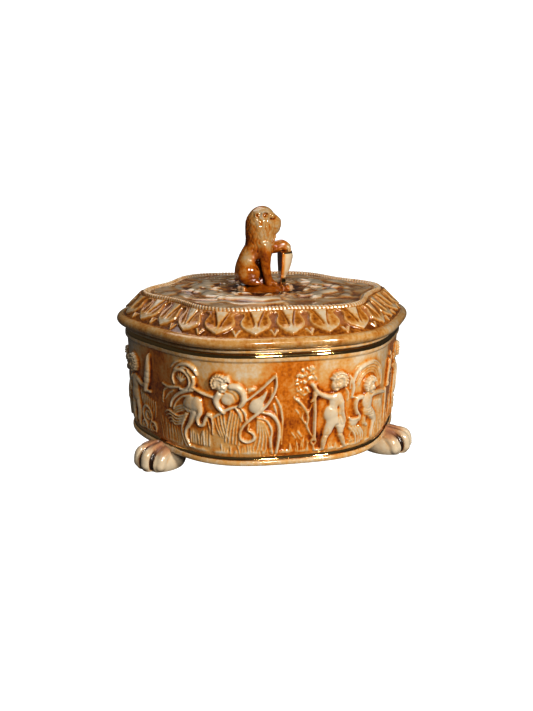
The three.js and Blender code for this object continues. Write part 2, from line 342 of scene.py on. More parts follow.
def crane_body(r):
    """The crane's body, neck and head."""
    r.pad((-11, 39.4), (5.6, 4.3), 1.9, turn=24)
    r.pad((-7.8, 40.2), (3.2, 4.0), 2.1, turn=-15)
    r.ridge([(-6.8, 40.6), (-6.2, 37), (-7.6, 33.4), (-6.8, 30.6), (-4.6, 31), (-3.4, 34), (-1.8, 36.2)],
            [2.2, 1.5, 1.05, 1.0, 1.0], 1.8)
    r.pad((-1.6, 35.8), (1.8, 1.5), 1.9, turn=-20)
    r.ridge([(-0.7, 36.4), (0, 32), (-0.3, 26.6)], [0.8, 0.5, 0.25], 1.4)
    r.ridge([(-2.6, 34.6), (-2, 31), (-1.5, 28)], [0.5, 0.35, 0.2], 1.1)
    r.groove([(-2, 35), (-1.5, 34.9)], 0.5, 0.7)
    for k in range(4):
        feather = [(-16 + 1.4 * k, 38 - 0.3 * k), (-13.4 + 1.5 * k, 37.4 - 0.2 * k), (-12 + 1.6 * k, 35.6)]
        r.groove(feather, 0.4, 0.35)


def crane_legs(r):
    """The crane's legs and foot."""
    r.ridge([(-9.4, 35.6), (-12, 30.6), (-14.8, 26.6), (-15, 23), (-12.6, 18.8)], [2.5, 1.3, 0.8, 0.6], 1.5)
    r.ridge([(-14.4, 34), (-16.6, 29.6), (-17.8, 25.6), (-16.4, 20.6), (-14.4, 18.2)],
            [1.4, 0.8, 0.55, 0.5], 1.1)
    r.ridge([(-16, 17.9), (-11.4, 18.8), (-9.4, 17.9)], [0.5, 0.9, 0.4], 0.9)


def archer(r):
    """The pole and the child, whose arms make a loop round the chest."""
    r.ridge([(-9.8, 47.8), (-4.6, 45.8), (0.4, 44.6)], [1.1, 0.9, 0.85], 1.5)
    r.pad((8.2, 45.6), (5.2, 4.4), 1.15)
    r.pad((6.8, 43.4), (3.2, 2.4), 1.3, turn=-30)
    r.groove([(6.4, 47.8), (9.6, 46.6), (11, 43.8)], 0.5, 0.4)
    r.ridge([(3.6, 46.4), (2, 43.6), (2.8, 40.6), (5.4, 37.8)], [1.6, 1.75, 1.5, 1.1], 2.0)
    r.ridge([(6.2, 38.8), (8.8, 40), (11.4, 41)], [0.9, 0.8, 0.4], 1.4)
    r.ridge([(8.8, 50), (11.8, 49.6), (14.1, 47), (14.3, 43.4), (12.8, 41)], [1.5, 1.9, 1.75, 1.5, 1.1], 2.1)
    r.pad((18, 48.7), (2.4, 1.1), 1.1, turn=8)
    r.pad((16.8, 47.4), (1.2, 0.7), 0.9, turn=20)
    putto_head(r, (3.7, 50.9), 4.1, 1)
    r.ridge([(5.6, 53.8), (7.4, 54), (8.1, 52.2)], [0.6, 1.0, 0.7], 2.1)


def hooked_bow(r):
    """A straight stave, a bent limb that ends in a hook and the gourd held in it."""
    r.ridge([(15.2, 43.2), (22, 48.6), (28.6, 54.8)], [0.55, 0.7, 0.65], 1.5)
    r.ridge([(28.7, 55), (28.9, 50.4), (27.4, 45.6), (23.6, 40), (18, 35.4), (14.4, 32), (12.6, 28.4),
             (13, 25.4), (15.6, 23.9), (18.4, 24.9), (18.9, 27.2), (17.6, 28.8), (16.2, 29.6), (16.6, 32.2)],
            [0.55, 0.75, 0.85, 0.8, 0.8, 0.8, 0.35], 1.6)
    r.pad((20, 41.2), (3.3, 4.1), 1.9, turn=-38)
    r.ridge([(20.6, 42.6), (23, 45), (24.6, 47.6)], [2.4, 1.3, 0.3], 1.7)
    r.ridge([(27, 49), (26.4, 44.8), (24.4, 41.8)], [0.3, 0.45, 0.3], 0.9)


def bent_reeds(r):
    """Reeds and bent stalks under the bow."""
    fan(r, ((20.4, 34.4), (23.6, 33)), ((18.2, 20), (26, 18.6)), 5, bow=0.9, width=0.45)
    r.ridge([(22.6, 38), (27, 36.4), (30, 32), (30.2, 25.4), (28.8, 17.6)], [0.8, 1.1, 1.1, 1.0, 0.8], 1.2)
    r.ridge([(20.4, 35.4), (24.4, 34), (26.8, 29.4), (26.6, 23.6), (27.4, 17.4)], [0.6, 0.7, 0.7, 0.5], 1.0)
    r.ridge([(28.6, 44.6), (30.8, 40), (31.8, 33), (31.4, 22)], [0.5, 0.7, 0.7, 0.4], 0.8)
    r.ridge([(27.8, 41.6), (29, 37.6), (29.4, 35)], [0.3, 0.6, 0.3], 0.8)


def crane_scene(r, rng):
    """A crane with a coiled plume beside a reclining child who draws a curved bow."""
    ground = CANVAS_GROUND
    grass(r, rng, (-33, -17), ground, 31, lean=-0.12)
    grass(r, rng, (-12.5, -1), ground + 4, 30, pitch=1.5)
    spread_reeds(r)
    plume(r)
    crane_wing(r)
    crane_body(r)
    crane_legs(r)
    archer(r)
    hooked_bow(r)
    bent_reeds(r)
    grass(r, rng, (3, 27), ground, 22.6, pitch=1.3)
    grass(r, rng, (32, 37), ground, 20, pitch=1)
    for x in (-24, -8, 4, 17, 33):
        r.pad((x, ground + 1.2), (5, 1.3), 0.7)


def staff(r):
    """A staff with a blade at its foot."""
    r.ridge([(-26.3, 46), (-25.7, 35), (-25.7, 23.4)], [1.0, 0.9, 0.85], 1.5)
    r.arc((-26, 22.6), 1.1, -60, 240, 0.6, 1.2, flat=1.4)
    r.ridge([(-26, 20.8), (-25.6, 18)], [0.5, 0.4], 1.0)


def staff_dancer(r):
    """The child with the staff."""
    r.ridge([(-15.8, 42.4), (-21, 43.8), (-24.8, 46), (-27.2, 49.6)], [1.9, 1.35, 1.2, 1.0], 1.7)
    r.ridge([(-25.6, 44.4), (-26.6, 43), (-27.8, 41.6)], [0.9, 0.8, 0.5], 1.4)
    r.pad((-15.6, 41), (3.9, 4.8), 1.8)
    r.pad((-17.4, 35.4), (4.5, 4.8), 2.1)
    r.pad((-16.2, 31.4), (4.5, 3.6), 2.1)
    r.ridge([(-18.2, 30), (-19.6, 26.4), (-20.6, 24.4), (-21.2, 22), (-21.6, 18.6)],
            [2.7, 2.2, 1.5, 1.6, 0.8], 1.9)
    r.ridge([(-21.4, 18.3), (-23.4, 17.9), (-25.6, 18.2)], [1.0, 0.85, 0.5], 1.3)
    r.ridge([(-13.6, 30.4), (-12.9, 26.8), (-13, 24.4)], [2.4, 2.0, 1.5], 1.8)
    r.ridge([(-13, 24.8), (-11.8, 22.4), (-10.6, 18.9)], [1.3, 1.6, 0.8], 1.7)
    for knee in ((-20, 24.9), (-13, 25)):
        r.groove([(knee[0] - 2, knee[1] + 0.4), (knee[0] + 2, knee[1])], 0.4, 0.5)
    r.ridge([(-9.4, 18.4), (-11.6, 17.7), (-14.2, 17.4)], [0.9, 0.9, 0.5], 1.3)
    r.groove([(-14.9, 38.6), (-14.5, 34), (-13.6, 30)], 0.5, 0.9)
    r.ridge([(-12.9, 40.4), (-12.4, 35.6), (-11.4, 31.6), (-11.8, 28)], [1.4, 1.2, 1.1, 0.7], 2.0)
    r.groove([(-16.4, 26.6), (-15.8, 29.6)], 0.5, 0.9)
    r.groove([(-15.4, 30), (-13, 29.2), (-11.4, 29.8)], 0.4, 0.4)
    r.groove([(-19, 38.4), (-16.6, 37.6), (-14.6, 38)], 0.4, 0.25)
    r.pad((-17.6, 34.4), (0.5, 0.5), 1.8)
    putto_head(r, (-14.6, 49.9), 4.4, -1)


def wing(r):
    """A wing behind the first child."""
    r.ridge([(-9.2, 52), (-7.4, 49), (-6.6, 45.4), (-7.6, 41.8)], [0.8, 1.1, 1.1, 0.5], 1.2)
    r.ridge([(-11, 46.4), (-9.4, 44), (-9.6, 40.4)], [0.4, 0.6, 0.4], 0.9)
    r.ridge([(-9, 50), (-8.6, 46)], [0.5, 0.5], 1.3)
    r.ridge([(-10.8, 37), (-9.4, 33), (-10.2, 28)], [0.3, 0.6, 0.3], 0.7)
    r.ridge([(-7.4, 41.6), (-5, 41.4)], [0.5, 0.4], 1.2)


def veil(r):
    """A veil blown into arches over the second child."""
    for k, radius in enumerate((6.6, 7.9, 9.2, 10.5, 11.7)):
        r.arc((3.2, 45.6), radius, 172 - 7 * k, -24 + 4 * k, 0.55, 0.8 + 0.12 * k, flat=0.98)
    r.ridge([(-7, 48.6), (-6, 52), (-3.2, 54.8), (1.5, 56.2), (5, 56)], [0.4, 1.1, 1.5, 1.2, 0.5], 1.5)
    r.ridge([(10.8, 52.4), (13.6, 48.4), (14, 43.6)], [0.8, 1.1, 0.6], 1.3)


def veil_dancer(r):
    """The child under the veil."""
    r.pad((2.9, 38.4), (4.1, 4.6), 1.9)
    r.pad((3, 34.2), (3.7, 4.6), 1.8)
    r.ridge([(-1.4, 40.8), (-4.4, 40.2), (-5.0, 36.6), (-3.9, 33.4)], [1.4, 1.5, 1.2, 1.0], 1.7)
    r.ridge([(-3.9, 33.8), (-2.4, 31.8), (-2.4, 29.8)], [1.1, 1.0, 0.7], 1.6)
    r.ridge([(6.4, 40.8), (12.6, 40), (19, 38.4)], [1.8, 1.3, 1], 1.7)
    r.ridge([(4.6, 32.6), (8, 29.6), (9.1, 27.2)], [3.0, 2.4, 1.6], 1.9)
    r.ridge([(8.8, 27.4), (7.8, 23.6), (7.2, 19.6)], [1.9, 1.4, 0.8], 1.6)
    r.ridge([(1.2, 31), (1.6, 27.8), (4, 25.6)], [2.2, 1.6, 0.5], 1.1)
    for k in range(4):
        r.groove([(-0.6, 35.6 - 1.1 * k), (2.6, 34.2 - 1.2 * k), (6.4, 35 - 1.4 * k)], 0.42, 0.45)
        r.groove([(0.2 + 1.2 * k, 31.2), (0.8 + 1.5 * k, 28.4), (1.8 + 1.2 * k, 26)], 0.4, 0.4)
    putto_head(r, (3.9, 45.3), 4.3, 1)


def basket(r, rng):
    """A basket, its trailing cloth and the leaves under it."""
    r.pad((-5.6, 29.6), (3.4, 2.8), 1.3)
    r.arc((-5.3, 31.9), 3.1, 165, 375, 0.8, 1.6, flat=0.42)
    r.groove([(-7.4, 32.1), (-3.6, 32)], 0.9, 0.9)
    fan(r, ((-8, 27.2), (-2.6, 26.8)), ((-3.6, 17.6), (0.6, 19)), 4, bow=1.6, width=0.75, height=1.1)
    r.ridge([(-8.6, 28), (-7, 25.2), (-7.8, 22.4)], [0.5, 0.5, 0.3], 0.8)
    foliage(r, rng, (-7, 20), (1.9, 3), 14, 1.1, height=0.8)
    fan(r, ((8.4, 37), (17, 35)), ((11, 23), (21, 22)), 6, bow=0.8, width=0.5, height=0.7)


def club(r):
    """A fluted club at the next valley."""
    r.ridge([(25.4, 40), (26.4, 46), (27, 51.6)], [0.9, 1.9, 1.7], 1.7)
    r.ridge([(23.6, 38.4), (24.6, 31), (24.2, 22)], [1.2, 0.9, 0.4], 1.0)
    for k in range(4):
        r.groove([(25.2 + 0.7 * k, 42), (25.4 + 1.1 * k, 50.4)], 0.35, 0.45)


def dancers_scene(r, rng):
    """Two dancing children under a tree, one with a staff and one under a blown veil."""
    ground = CANVAS_GROUND
    grass(r, rng, (-37, -27.4), ground, 25)
    grass(r, rng, (-20, -11), ground, 21, pitch=1.5)
    foliage(r, rng, (-29.4, 51.6), (5.4, 6.6), 70, 0.85, height=0.8)
    foliage(r, rng, (-32, 45), (3.8, 5), 32, 0.8, height=0.6)
    r.ridge([(-33.6, 42.6), (-30.2, 38.4), (-28.8, 34), (-29.2, 30), (-26.8, 25)], [0.8, 0.7, 0.6, 0.4], 1.0)
    r.ridge([(-29, 36), (-27.8, 38.6), (-27.2, 41)], [0.5, 0.45, 0.3], 0.9)
    r.ridge([(-29.8, 31), (-31.4, 34), (-31, 37)], [0.4, 0.4, 0.25], 0.7)
    for k in range(9):
        x, z = rng.uniform(-36.5, -31), rng.uniform(24, 44)
        r.ridge([(x - 1.2, z + 1.6), (x, z), (x + 1.1, z - 1.8)], [0.2, 0.4, 0.2], 0.45)
    staff(r)
    staff_dancer(r)
    wing(r)
    veil(r)
    veil_dancer(r)
    basket(r, rng)
    club(r)
    foliage(r, rng, (31, 50), (3.4, 6), 26, 1.3)
    grass(r, rng, (11, 36), ground, 27, pitch=1.4)
    for x in (-31, -17, -4, 7, 18, 29):
        r.pad((x, ground + 1.1), (4.6, 1.1), 0.7)


def shell_child(r):
    """A child who rests on a shell and holds up a ring."""
    for k in range(10):
        t = math.radians(205 - 22 * k)
        r.ridge([(-10, 24), (-10 + 10.5 * math.cos(t), 24 + 8 * math.sin(t))], [0.4, 1.25], 0.9, tail=1.4)
    r.pad((-9.6, 38), (3.9, 5.6), 1.9, turn=14)
    r.pad((-9.4, 34), (3.9, 4.0), 2.0)
    r.ridge([(-8.6, 33), (-3.6, 32), (0.8, 29)], [3.2, 2.6, 1.9], 1.9)
    r.ridge([(0.8, 29), (2.6, 25), (3.4, 20.4)], [1.8, 1.4, 0.9], 1.7)
    r.ridge([(-8.4, 31), (-4.6, 27.6), (-4.8, 22), (-2, 20.4)], [2.6, 2.0, 1.3, 0.9], 1.6)
    r.ridge([(-12, 41.2), (-16.4, 38.8), (-18.8, 33.8), (-17.8, 30)], [1.7, 1.35, 1.1, 0.9], 1.7)
    r.ridge([(-7.4, 42), (-2, 43.2), (2.6, 45.8)], [1.6, 1.25, 1.0], 1.7)
    r.groove([(-12.6, 35.6), (-9.6, 34.8), (-6.8, 35.8)], 0.4, 0.35)
    putto_head(r, (-8.4, 48.6), 4.4, 1)
    r.arc((3.2, 47.6), 3.3, -70, 240, 0.8, 1.3)
    r.arc((3.2, 47.6), 1.5, 0, 360, 0.5, 1.0)


def jar_child(r):
    """A child who carries a pointed jar."""
    r.pad((15.4, 40.2), (4.1, 5.2), 1.8, turn=-10)
    r.pad((14.8, 34.6), (4.3, 4.6), 2.0)
    r.ridge([(16.6, 32.6), (18.6, 27), (17.6, 21.6)], [2.8, 1.9, 1.2], 1.8)
    r.ridge([(17.6, 21.6), (18.2, 18.8), (20.6, 17.9)], [1.2, 1.0, 0.7], 1.4)
    r.ridge([(12.8, 32), (11.4, 26.4), (12.6, 21)], [2.6, 1.8, 1.2], 1.8)
    r.ridge([(12.6, 21), (11.8, 18.6), (9.6, 17.9)], [1.2, 1.0, 0.7], 1.4)
    r.ridge([(19, 42.6), (24, 40.8), (27.6, 43)], [1.7, 1.3, 1.0], 1.7)
    r.ridge([(11.8, 42.4), (8, 39.4), (8.8, 34.8)], [1.6, 1.25, 0.9], 1.6)
    r.groove([(11.6, 31.6), (15, 30.4), (18.4, 32)], 0.45, 0.4)
    r.pad((15, 34.8), (0.5, 0.5), 1.9)
    putto_head(r, (15.8, 49.6), 4.8, -1)
    r.ridge([(26.8, 38.6), (28.4, 44.6), (30, 51), (31.6, 57.4)], [1.2, 2.6, 2.2, 0.5], 1.9)
    r.ridge([(26, 38.4), (30.6, 38.8)], [0.9, 0.9], 1.4)
    for k in range(3):
        r.groove([(26.2 + 0.4 * k, 43 + 3 * k), (31 + 0.4 * k, 42.4 + 3 * k)], 0.35, 0.4)


def water(r):
    """Scrolls of water behind the children's feet."""
    for x, z, radius in ((26, 26, 4.4), (31, 20.6, 2.8), (22.8, 20, 2.2)):
        r.arc((x, z), radius, -40, 250, 0.75, 1.1)
        r.arc((x + 0.4, z - 0.3), 0.5 * radius, 0, 300, 0.55, 1.0)
    fan(r, ((20.4, 37), (34, 34)), ((21, 31), (33, 25.6)), 8, bow=0.5, width=0.45, height=0.7)


def bather_scene(r, rng):
    """A child resting on a shell among reeds, with a second one carrying a pointed jar."""
    ground = CANVAS_GROUND
    grass(r, rng, (-36, -20), ground, 32, lean=0.08)
    grass(r, rng, (-5, 12), ground, 22)
    foliage(r, rng, (-28, 50), (5.6, 6.4), 55, 1.3)
    r.ridge([(-27, 46), (-25.6, 38), (-26.6, 28), (-25.4, ground)], [0.9, 0.9, 1.0, 1.4], 1.2)
    r.ridge([(-26, 38), (-23, 41.6), (-21.6, 45)], [0.7, 0.5, 0.3], 1.0)
    shell_child(r)
    jar_child(r)
    water(r)
    for x in (-28, -16, 4, 15, 27):
        r.pad((x, ground + 1.2), (4.8, 1.1), 0.7)


# One scene for each lobe, starting at +X and going round past the back.
SCENES = (bather_scene, crane_scene, dancers_scene) * 2


def wall_relief():
    """Height map of the whole wall and its rows' heights above the ground."""
    z = np.arange(RELIEF_LOW_Z, RELIEF_HIGH_Z + FINE / 2, FINE)
    step = LOBE_LENGTH / COLUMNS_PER_LOBE
    margin = 10
    offsets = np.arange(-COLUMNS_PER_LOBE // 2 - margin, COLUMNS_PER_LOBE // 2 + margin)
    height = np.zeros((len(z), COLUMNS))
    drawn = {}
    for lobe, scene in enumerate(SCENES):
        if scene not in drawn:
            u, v = np.meshgrid(offsets * step, z - CANVAS_ZERO)
            drawn[scene] = Relief(u, v)
            scene(drawn[scene], np.random.default_rng(len(drawn)))
        columns = (offsets + lobe * COLUMNS_PER_LOBE) % COLUMNS
        height[:, columns] = np.maximum(height[:, columns], drawn[scene].height)
    edge = smoothstep(0, 2.2, z - z[0]) * smoothstep(0, 2.2, z[-1] - z)
    height = blurred(height, GLAZE_FLOW, (FINE, step))
    return z, height * (0.25 + 0.75 * edge)[:, None]


# ---- Meshes ----


def mesh_object(name, points, faces, paint, material):
    """A smooth-shaded object from points in mm, a list of face arrays and float attributes."""
    mesh = bpy.data.meshes.new(name)
    corners = np.concatenate([f.ravel() for f in faces]).astype(np.int32)
    totals = np.concatenate([np.full(len(f), f.shape[1], np.int32) for f in faces])
    mesh.vertices.add(len(points))
    mesh.vertices.foreach_set("co", (points * MM).astype(np.float32).ravel())
    mesh.loops.add(len(corners))
    mesh.loops.foreach_set("vertex_index", corners)
    mesh.polygons.add(len(totals))
    mesh.polygons.foreach_set("loop_start", np.concatenate([[0], np.cumsum(totals)[:-1]]).astype(np.int32))
    mesh.polygons.foreach_set("loop_total", totals)
    mesh.polygons.foreach_set("use_smooth", np.ones(len(totals), bool))
    for key, values in paint.items():
        attribute = mesh.attributes.new(key, "FLOAT", "POINT")
        attribute.data.foreach_set("value", values.astype(np.float32).ravel())
    mesh.materials.append(material)
    mesh.update()
    mesh.validate()
    thing = bpy.data.objects.new(name, mesh)
    bpy.context.scene.collection.objects.link(thing)
    return thing


def outline(points, spacing, rounds=2):
    """Rows of [radius, z, valley depth] along a line with its corners cut round, evenly spaced."""
    line = np.array(points, float)
    for _ in range(rounds):
        cut = [0.75 * line[:-1] + 0.25 * line[1:], 0.25 * line[:-1] + 0.75 * line[1:]]
        line = np.concatenate([line[:1], np.stack(cut, 1).reshape(-1, 3), line[-1:]])
    length = np.concatenate([[0], np.cumsum(np.hypot(np.diff(line[:, 0]), np.diff(line[:, 1])))])
    count = max(2, int(round(length[-1] / spacing)) + 1)
    wanted = np.linspace(0, length[-1], count)
    return np.stack([np.interp(wanted, length, line[:, k]) for k in range(3)], 1)


def lobed_object(name, rows, height, paint, material):
    """A closed shell: rows carried round the lobed plan and pushed out by a height map. It starts and ends
    on the axis."""
    slope = np.gradient(rows[:, :2], axis=0)
    normal = np.stack([slope[:, 1], -slope[:, 0]], 1)
    normal /= np.linalg.norm(normal, axis=1, keepdims=True)
    radius = lobed(rows[:, :1], rows[:, 2:], ANGLES[None]) + height * normal[:, :1]
    z = rows[:, 1:2] + height * normal[:, 1:]
    ring = np.stack([radius * np.cos(ANGLES), radius * np.sin(ANGLES), np.broadcast_to(z, radius.shape)], -1)
    inner = ring[1:-1]
    low, high = [0, 0, rows[0, 1]], [0, 0, rows[-1, 1]]
    points = np.concatenate([[low], inner.reshape(-1, 3), [high]])
    count = len(inner)
    index = 1 + np.arange(count * COLUMNS).reshape(count, COLUMNS)
    beside = np.roll(index, -1, axis=1)
    quads = np.stack([index[:-1], beside[:-1], beside[1:], index[1:]], -1).reshape(-1, 4)
    last = len(points) - 1
    foot = np.stack([np.zeros(COLUMNS, int), beside[0], index[0]], -1)
    head = np.stack([index[-1], beside[-1], np.full(COLUMNS, last)], -1)
    spread = {}
    for key, values in paint.items():
        spread[key] = np.concatenate([[values[0].mean()], values[1:-1].ravel(), [values[-1].mean()]])
    return mesh_object(name, points, [foot, quads, head], spread, material)


def across(values):
    """One value for each row, carried round the columns."""
    return np.repeat(np.asarray(values, float)[:, None], COLUMNS, 1)


# ---- Glazes ----

CREAM = (0.71, 0.6, 0.44, 1)
TAN = (0.68, 0.4, 0.14, 1)
ORANGE = (0.62, 0.2, 0.008, 1)
BURNT = (0.27, 0.055, 0.003, 1)
UMBER = (0.05, 0.009, 0.002, 1)
OCHRE = (0.52, 0.2, 0.02, 1)
BRONZE = (0.22, 0.065, 0.007, 1)
MAUVE = (0.44, 0.23, 0.14, 1)
GILT = (0.75, 0.5, 0.2, 1)


def nodes_of(material):
    """The material's node tree and its Principled shader."""
    material.use_nodes = True
    tree = material.node_tree
    return tree, tree.nodes["Principled BSDF"]


def add(tree, kind, settings=(), **inputs):
    """A node with its settings and inputs; an input is a value or another node's output."""
    node = tree.nodes.new(kind)
    for key, value in dict(settings).items():
        setattr(node, key, value)
    for key, value in inputs.items():
        socket = node.inputs[int(key[1:])] if key[0] == "i" and key[1:].isdigit() else node.inputs[key]
        if isinstance(value, bpy.types.NodeSocket):
            tree.links.new(value, socket)
        else:
            socket.default_value = value
    return node


def maths(tree, operation, *values, clamp=False):
    """The result of a Math node."""
    inputs = {f"i{k}": value for k, value in enumerate(values)}
    return add(tree, "ShaderNodeMath", {"operation": operation, "use_clamp": clamp}, **inputs).outputs[0]


def mottle(tree, size, detail=3.0, stretch=(1, 1, 1)):
    """Noise about `size` mm across, centred on 0 and from about -0.5 to 0.5."""
    place = add(tree, "ShaderNodeTexCoord").outputs["Object"]
    scaled = add(tree, "ShaderNodeMapping", Vector=place, Scale=stretch).outputs[0]
    noise = add(tree, "ShaderNodeTexNoise", Vector=scaled, Scale=1 / (size * MM), Detail=detail)
    return maths(tree, "SUBTRACT", noise.outputs["Fac"], 0.5)


def ramp(tree, value, stops):
    """The colour that a value has among the stops."""
    node = add(tree, "ShaderNodeValToRGB", Fac=value)
    elements = node.color_ramp.elements
    elements[0].position, elements[0].color = stops[0]
    elements[1].position, elements[1].color = stops[-1]
    for position, color in stops[1:-1]:
        elements.new(position).color = color
    return node.outputs["Color"]


def glaze_material(name, stops, patch=0.5, speckle=0.35, streak=0.0, gloss=0.16):
    """Glaze over a painted wash. The `wash` attribute picks the colour, mottled by noise at three sizes, the
    `mauve` attribute dulls it and the `gilt` attribute turns it to lustre."""
    material = bpy.data.materials.new(name)
    tree, shader = nodes_of(material)
    wash, mauve, gilt = (add(tree, "ShaderNodeAttribute", {"attribute_name": key}).outputs["Fac"]
                         for key in ("wash", "mauve", "gilt"))
    tone = maths(tree, "MULTIPLY_ADD", mottle(tree, 9), patch, wash)
    tone = maths(tree, "MULTIPLY_ADD", mottle(tree, 1.3, 4), speckle, tone)
    tone = maths(tree, "MULTIPLY_ADD", mottle(tree, 2.2, 2, (1, 1, 0.22)), streak, tone)
    paint = ramp(tree, tone, stops)
    dull = maths(tree, "MULTIPLY_ADD", mottle(tree, 2.5, 4), 0.9, mauve, clamp=True)
    dull = maths(tree, "MULTIPLY", dull, maths(tree, "GREATER_THAN", mauve, 0.02))
    paint = add(tree, "ShaderNodeMix", {"data_type": "RGBA"}, i0=dull, i6=paint, i7=MAUVE).outputs[2]
    edge = maths(tree, "ADD", gilt, maths(tree, "MULTIPLY", mottle(tree, 1.6, 2), 0.35))
    gold = add(tree, "ShaderNodeMapRange", {"interpolation_type": "SMOOTHSTEP"},
               Value=edge, i1=0.42, i2=0.58).outputs["Result"]
    color = add(tree, "ShaderNodeMix", {"data_type": "RGBA"}, i0=gold, i6=paint, i7=GILT).outputs[2]
    tree.links.new(color, shader.inputs["Base Color"])
    tree.links.new(gold, shader.inputs["Metallic"])
    rough = maths(tree, "ADD", gloss, maths(tree, "MULTIPLY", mottle(tree, 3.0), 0.12))
    polish = maths(tree, "MULTIPLY_ADD", gold, -0.5, 1)
    rough = maths(tree, "MULTIPLY", rough, polish)
    tree.links.new(rough, shader.inputs["Roughness"])
    ripple = maths(tree, "ADD", mottle(tree, 3.6, 2), maths(tree, "MULTIPLY", mottle(tree, 0.5, 1), 0.12))
    bump = add(tree, "ShaderNodeBump", Height=ripple, Strength=0.35, Distance=0.0003)
    tree.links.new(bump.outputs[0], shader.inputs["Normal"])
    shader.inputs["Coat Weight"].default_value = 0.5
    shader.inputs["Coat Roughness"].default_value = 0.05
    shader.inputs["IOR"].default_value = 1.5
    return material


PAW_STOPS = [(0, CREAM), (0.32, (0.66, 0.42, 0.2, 1)), (0.55, (0.28, 0.12, 0.05, 1)),
             (0.85, (0.03, 0.014, 0.008, 1))]
WASH_STOPS = [(0.0, CREAM), (0.3, TAN), (0.55, ORANGE), (0.8, BURNT), (1.0, UMBER)]
LID_STOPS = [(0.0, CREAM), (0.28, TAN), (0.5, OCHRE), (0.72, BRONZE), (1.0, UMBER)]


def painted_shade_stops(stops, share):
    """Painted shade: the same colours, each scaled towards black, as darker copies for the lid, the plinth
    and the lion.
    """
    return [(position, tuple(share * part for part in color[:3]) + (1,)) for position, color in stops]


# ---- Bowl ----


def profile(depth, *points):
    """Profile points [radius, z] with the valley depth that they share."""
    return [[radius, z, depth] for radius, z in points]


def bowl_profile(z):
    """The bowl's rows in four parts: the foot, the relief wall at heights z, the rim and the inside."""
    foot = WALL_RADIUS - WALL_TAPER
    inner = WALL_RADIUS - WALL_THICKNESS
    deep = inner - WALL_TAPER
    base, floor = BASE_Z, BASE_Z + WALL_THICKNESS
    under = outline(profile(BOWL_DEPTH, (0, base + 0.9), (foot - 13, base + 0.9), (foot - 12, base),
                            (foot - 2, base), (foot + 0.6, base), (foot + 1, base + 1.2),
                            (foot + 0.6, base + 2.5), (foot - 0.5, base + 2.7), (foot - 0.6, base + 3.6),
                            (foot - 0.4, RELIEF_LOW_Z - 0.3), (foot - 0.1, RELIEF_LOW_Z)), 0.5)
    share = (z - z[0]) / (z[-1] - z[0])
    wall = np.stack([foot + WALL_TAPER * share, z, np.full(len(z), BOWL_DEPTH)], 1)
    r, h = WALL_RADIUS, z[-1]
    top = outline(profile(BOWL_DEPTH, (r, h), (r + 0.3, h + 0.4), (r + 1, h + 0.9), (r + 1, h + 2.2),
                          (r + 0.95, h + 2.9), (r + 0.75, h + 3.5), (r + 0.4, h + 4), (r, h + 4.4),
                          (r - 0.1, h + 4.6), (r + 0.6, h + 4.8), (r + 0.6, h + 5.7), (r + 0.3, RIM_Z),
                          (inner + 0.8, RIM_Z), (inner, RIM_Z - 0.8), (inner, RIM_Z - 3)), 0.3)
    inside = outline(profile(BOWL_DEPTH, (inner, RIM_Z - 3.2), (deep, floor + 8), (deep - 0.8, floor + 2.4),
                             (deep - 5, floor), (0, floor)), 1.8, rounds=3)
    return under[:-1], wall, top[1:], inside[1:]


def wall_wash(height, z):
    """Wash of the relief: dark in the valleys and close round the figures, pale on what stands out."""
    step = (FINE, LOBE_LENGTH / COLUMNS_PER_LOBE)
    broad = blurred(height, 1.3, step)
    figure = smoothstep(0.45, 1.15, height)
    crest = smoothstep(0.02, 0.26, height - broad)
    hollow = smoothstep(0.04, 0.6, broad - height)
    near = np.clip(1.5 * blurred(smoothstep(0.6, 1.1, height), 1.9, step), 0, 1)
    valley = ((1 - np.cos(LOBES * ANGLES)) / 2) ** 3
    open_sky = smoothstep(RIM_Z - 17.7, RIM_Z - 9.7, z) * (1 - valley)
    meadow = smoothstep(BASE_Z + 20, BASE_Z + 9, z) * (1 - valley)
    ground = 0.28 + 0.32 * near + 0.32 * valley - 0.1 * open_sky + 0.05 * meadow
    raised = np.maximum(figure, 0.9 * crest)
    return ground * (1 - raised) + 0.06 * raised + 0.22 * hollow


def build_bowl():
    z, relief = wall_relief()
    parts = bowl_profile(z)
    rows = np.concatenate(parts)
    start, wall_end, top_end, _ = np.cumsum([len(part) for part in parts])
    outer_end = top_end + 1
    height, wash = np.zeros((len(rows), COLUMNS)), np.zeros((len(rows), COLUMNS))
    height[start:wall_end] = relief
    wash[:outer_end] = wall_wash(height[:outer_end], rows[:outer_end, 1:2])
    wash[:start - 2] = 0.2
    wash[wall_end + 2:] = 0.2
    wash[outer_end - 6:] = 0.02
    index, radius, up = np.arange(len(rows)), rows[:, 0], rows[:, 1]
    foot_line = (index < start) & (up > BASE_Z + 2.5) & (up < BASE_Z + 4.2)
    rim_line = (index > wall_end) & (index < outer_end) & (radius > WALL_RADIUS - 1)
    rim_line &= (up > z[-1] + 2.3) & (up < z[-1] + 4.6)
    material = glaze_material("wall_glaze", WASH_STOPS, patch=0.7, speckle=0.5, streak=0.35)
    paint = {"wash": wash, "mauve": np.zeros_like(wash), "gilt": across(foot_line | rim_line)}
    bowl = lobed_object("bowl_glazed", rows, height, paint, material)
    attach(bowl, "base")
    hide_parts("box_bowl")


# ---- Lid ----

# The gap between two leaves: how far up the slope, and half its width as a share of a leaf's pitch.
KEYHOLE = ([0, 0.07, 0.15, 0.25, 0.3, 0.4, 0.5, 0.58, 0.66, 0.75, 0.83, 0.9, 0.935, 1],
           [0.5, 0.5, 0.38, 0.24, 0.175, 0.1, 0.062, 0.062, 0.08, 0.12, 0.13, 0.1, 0, 0])


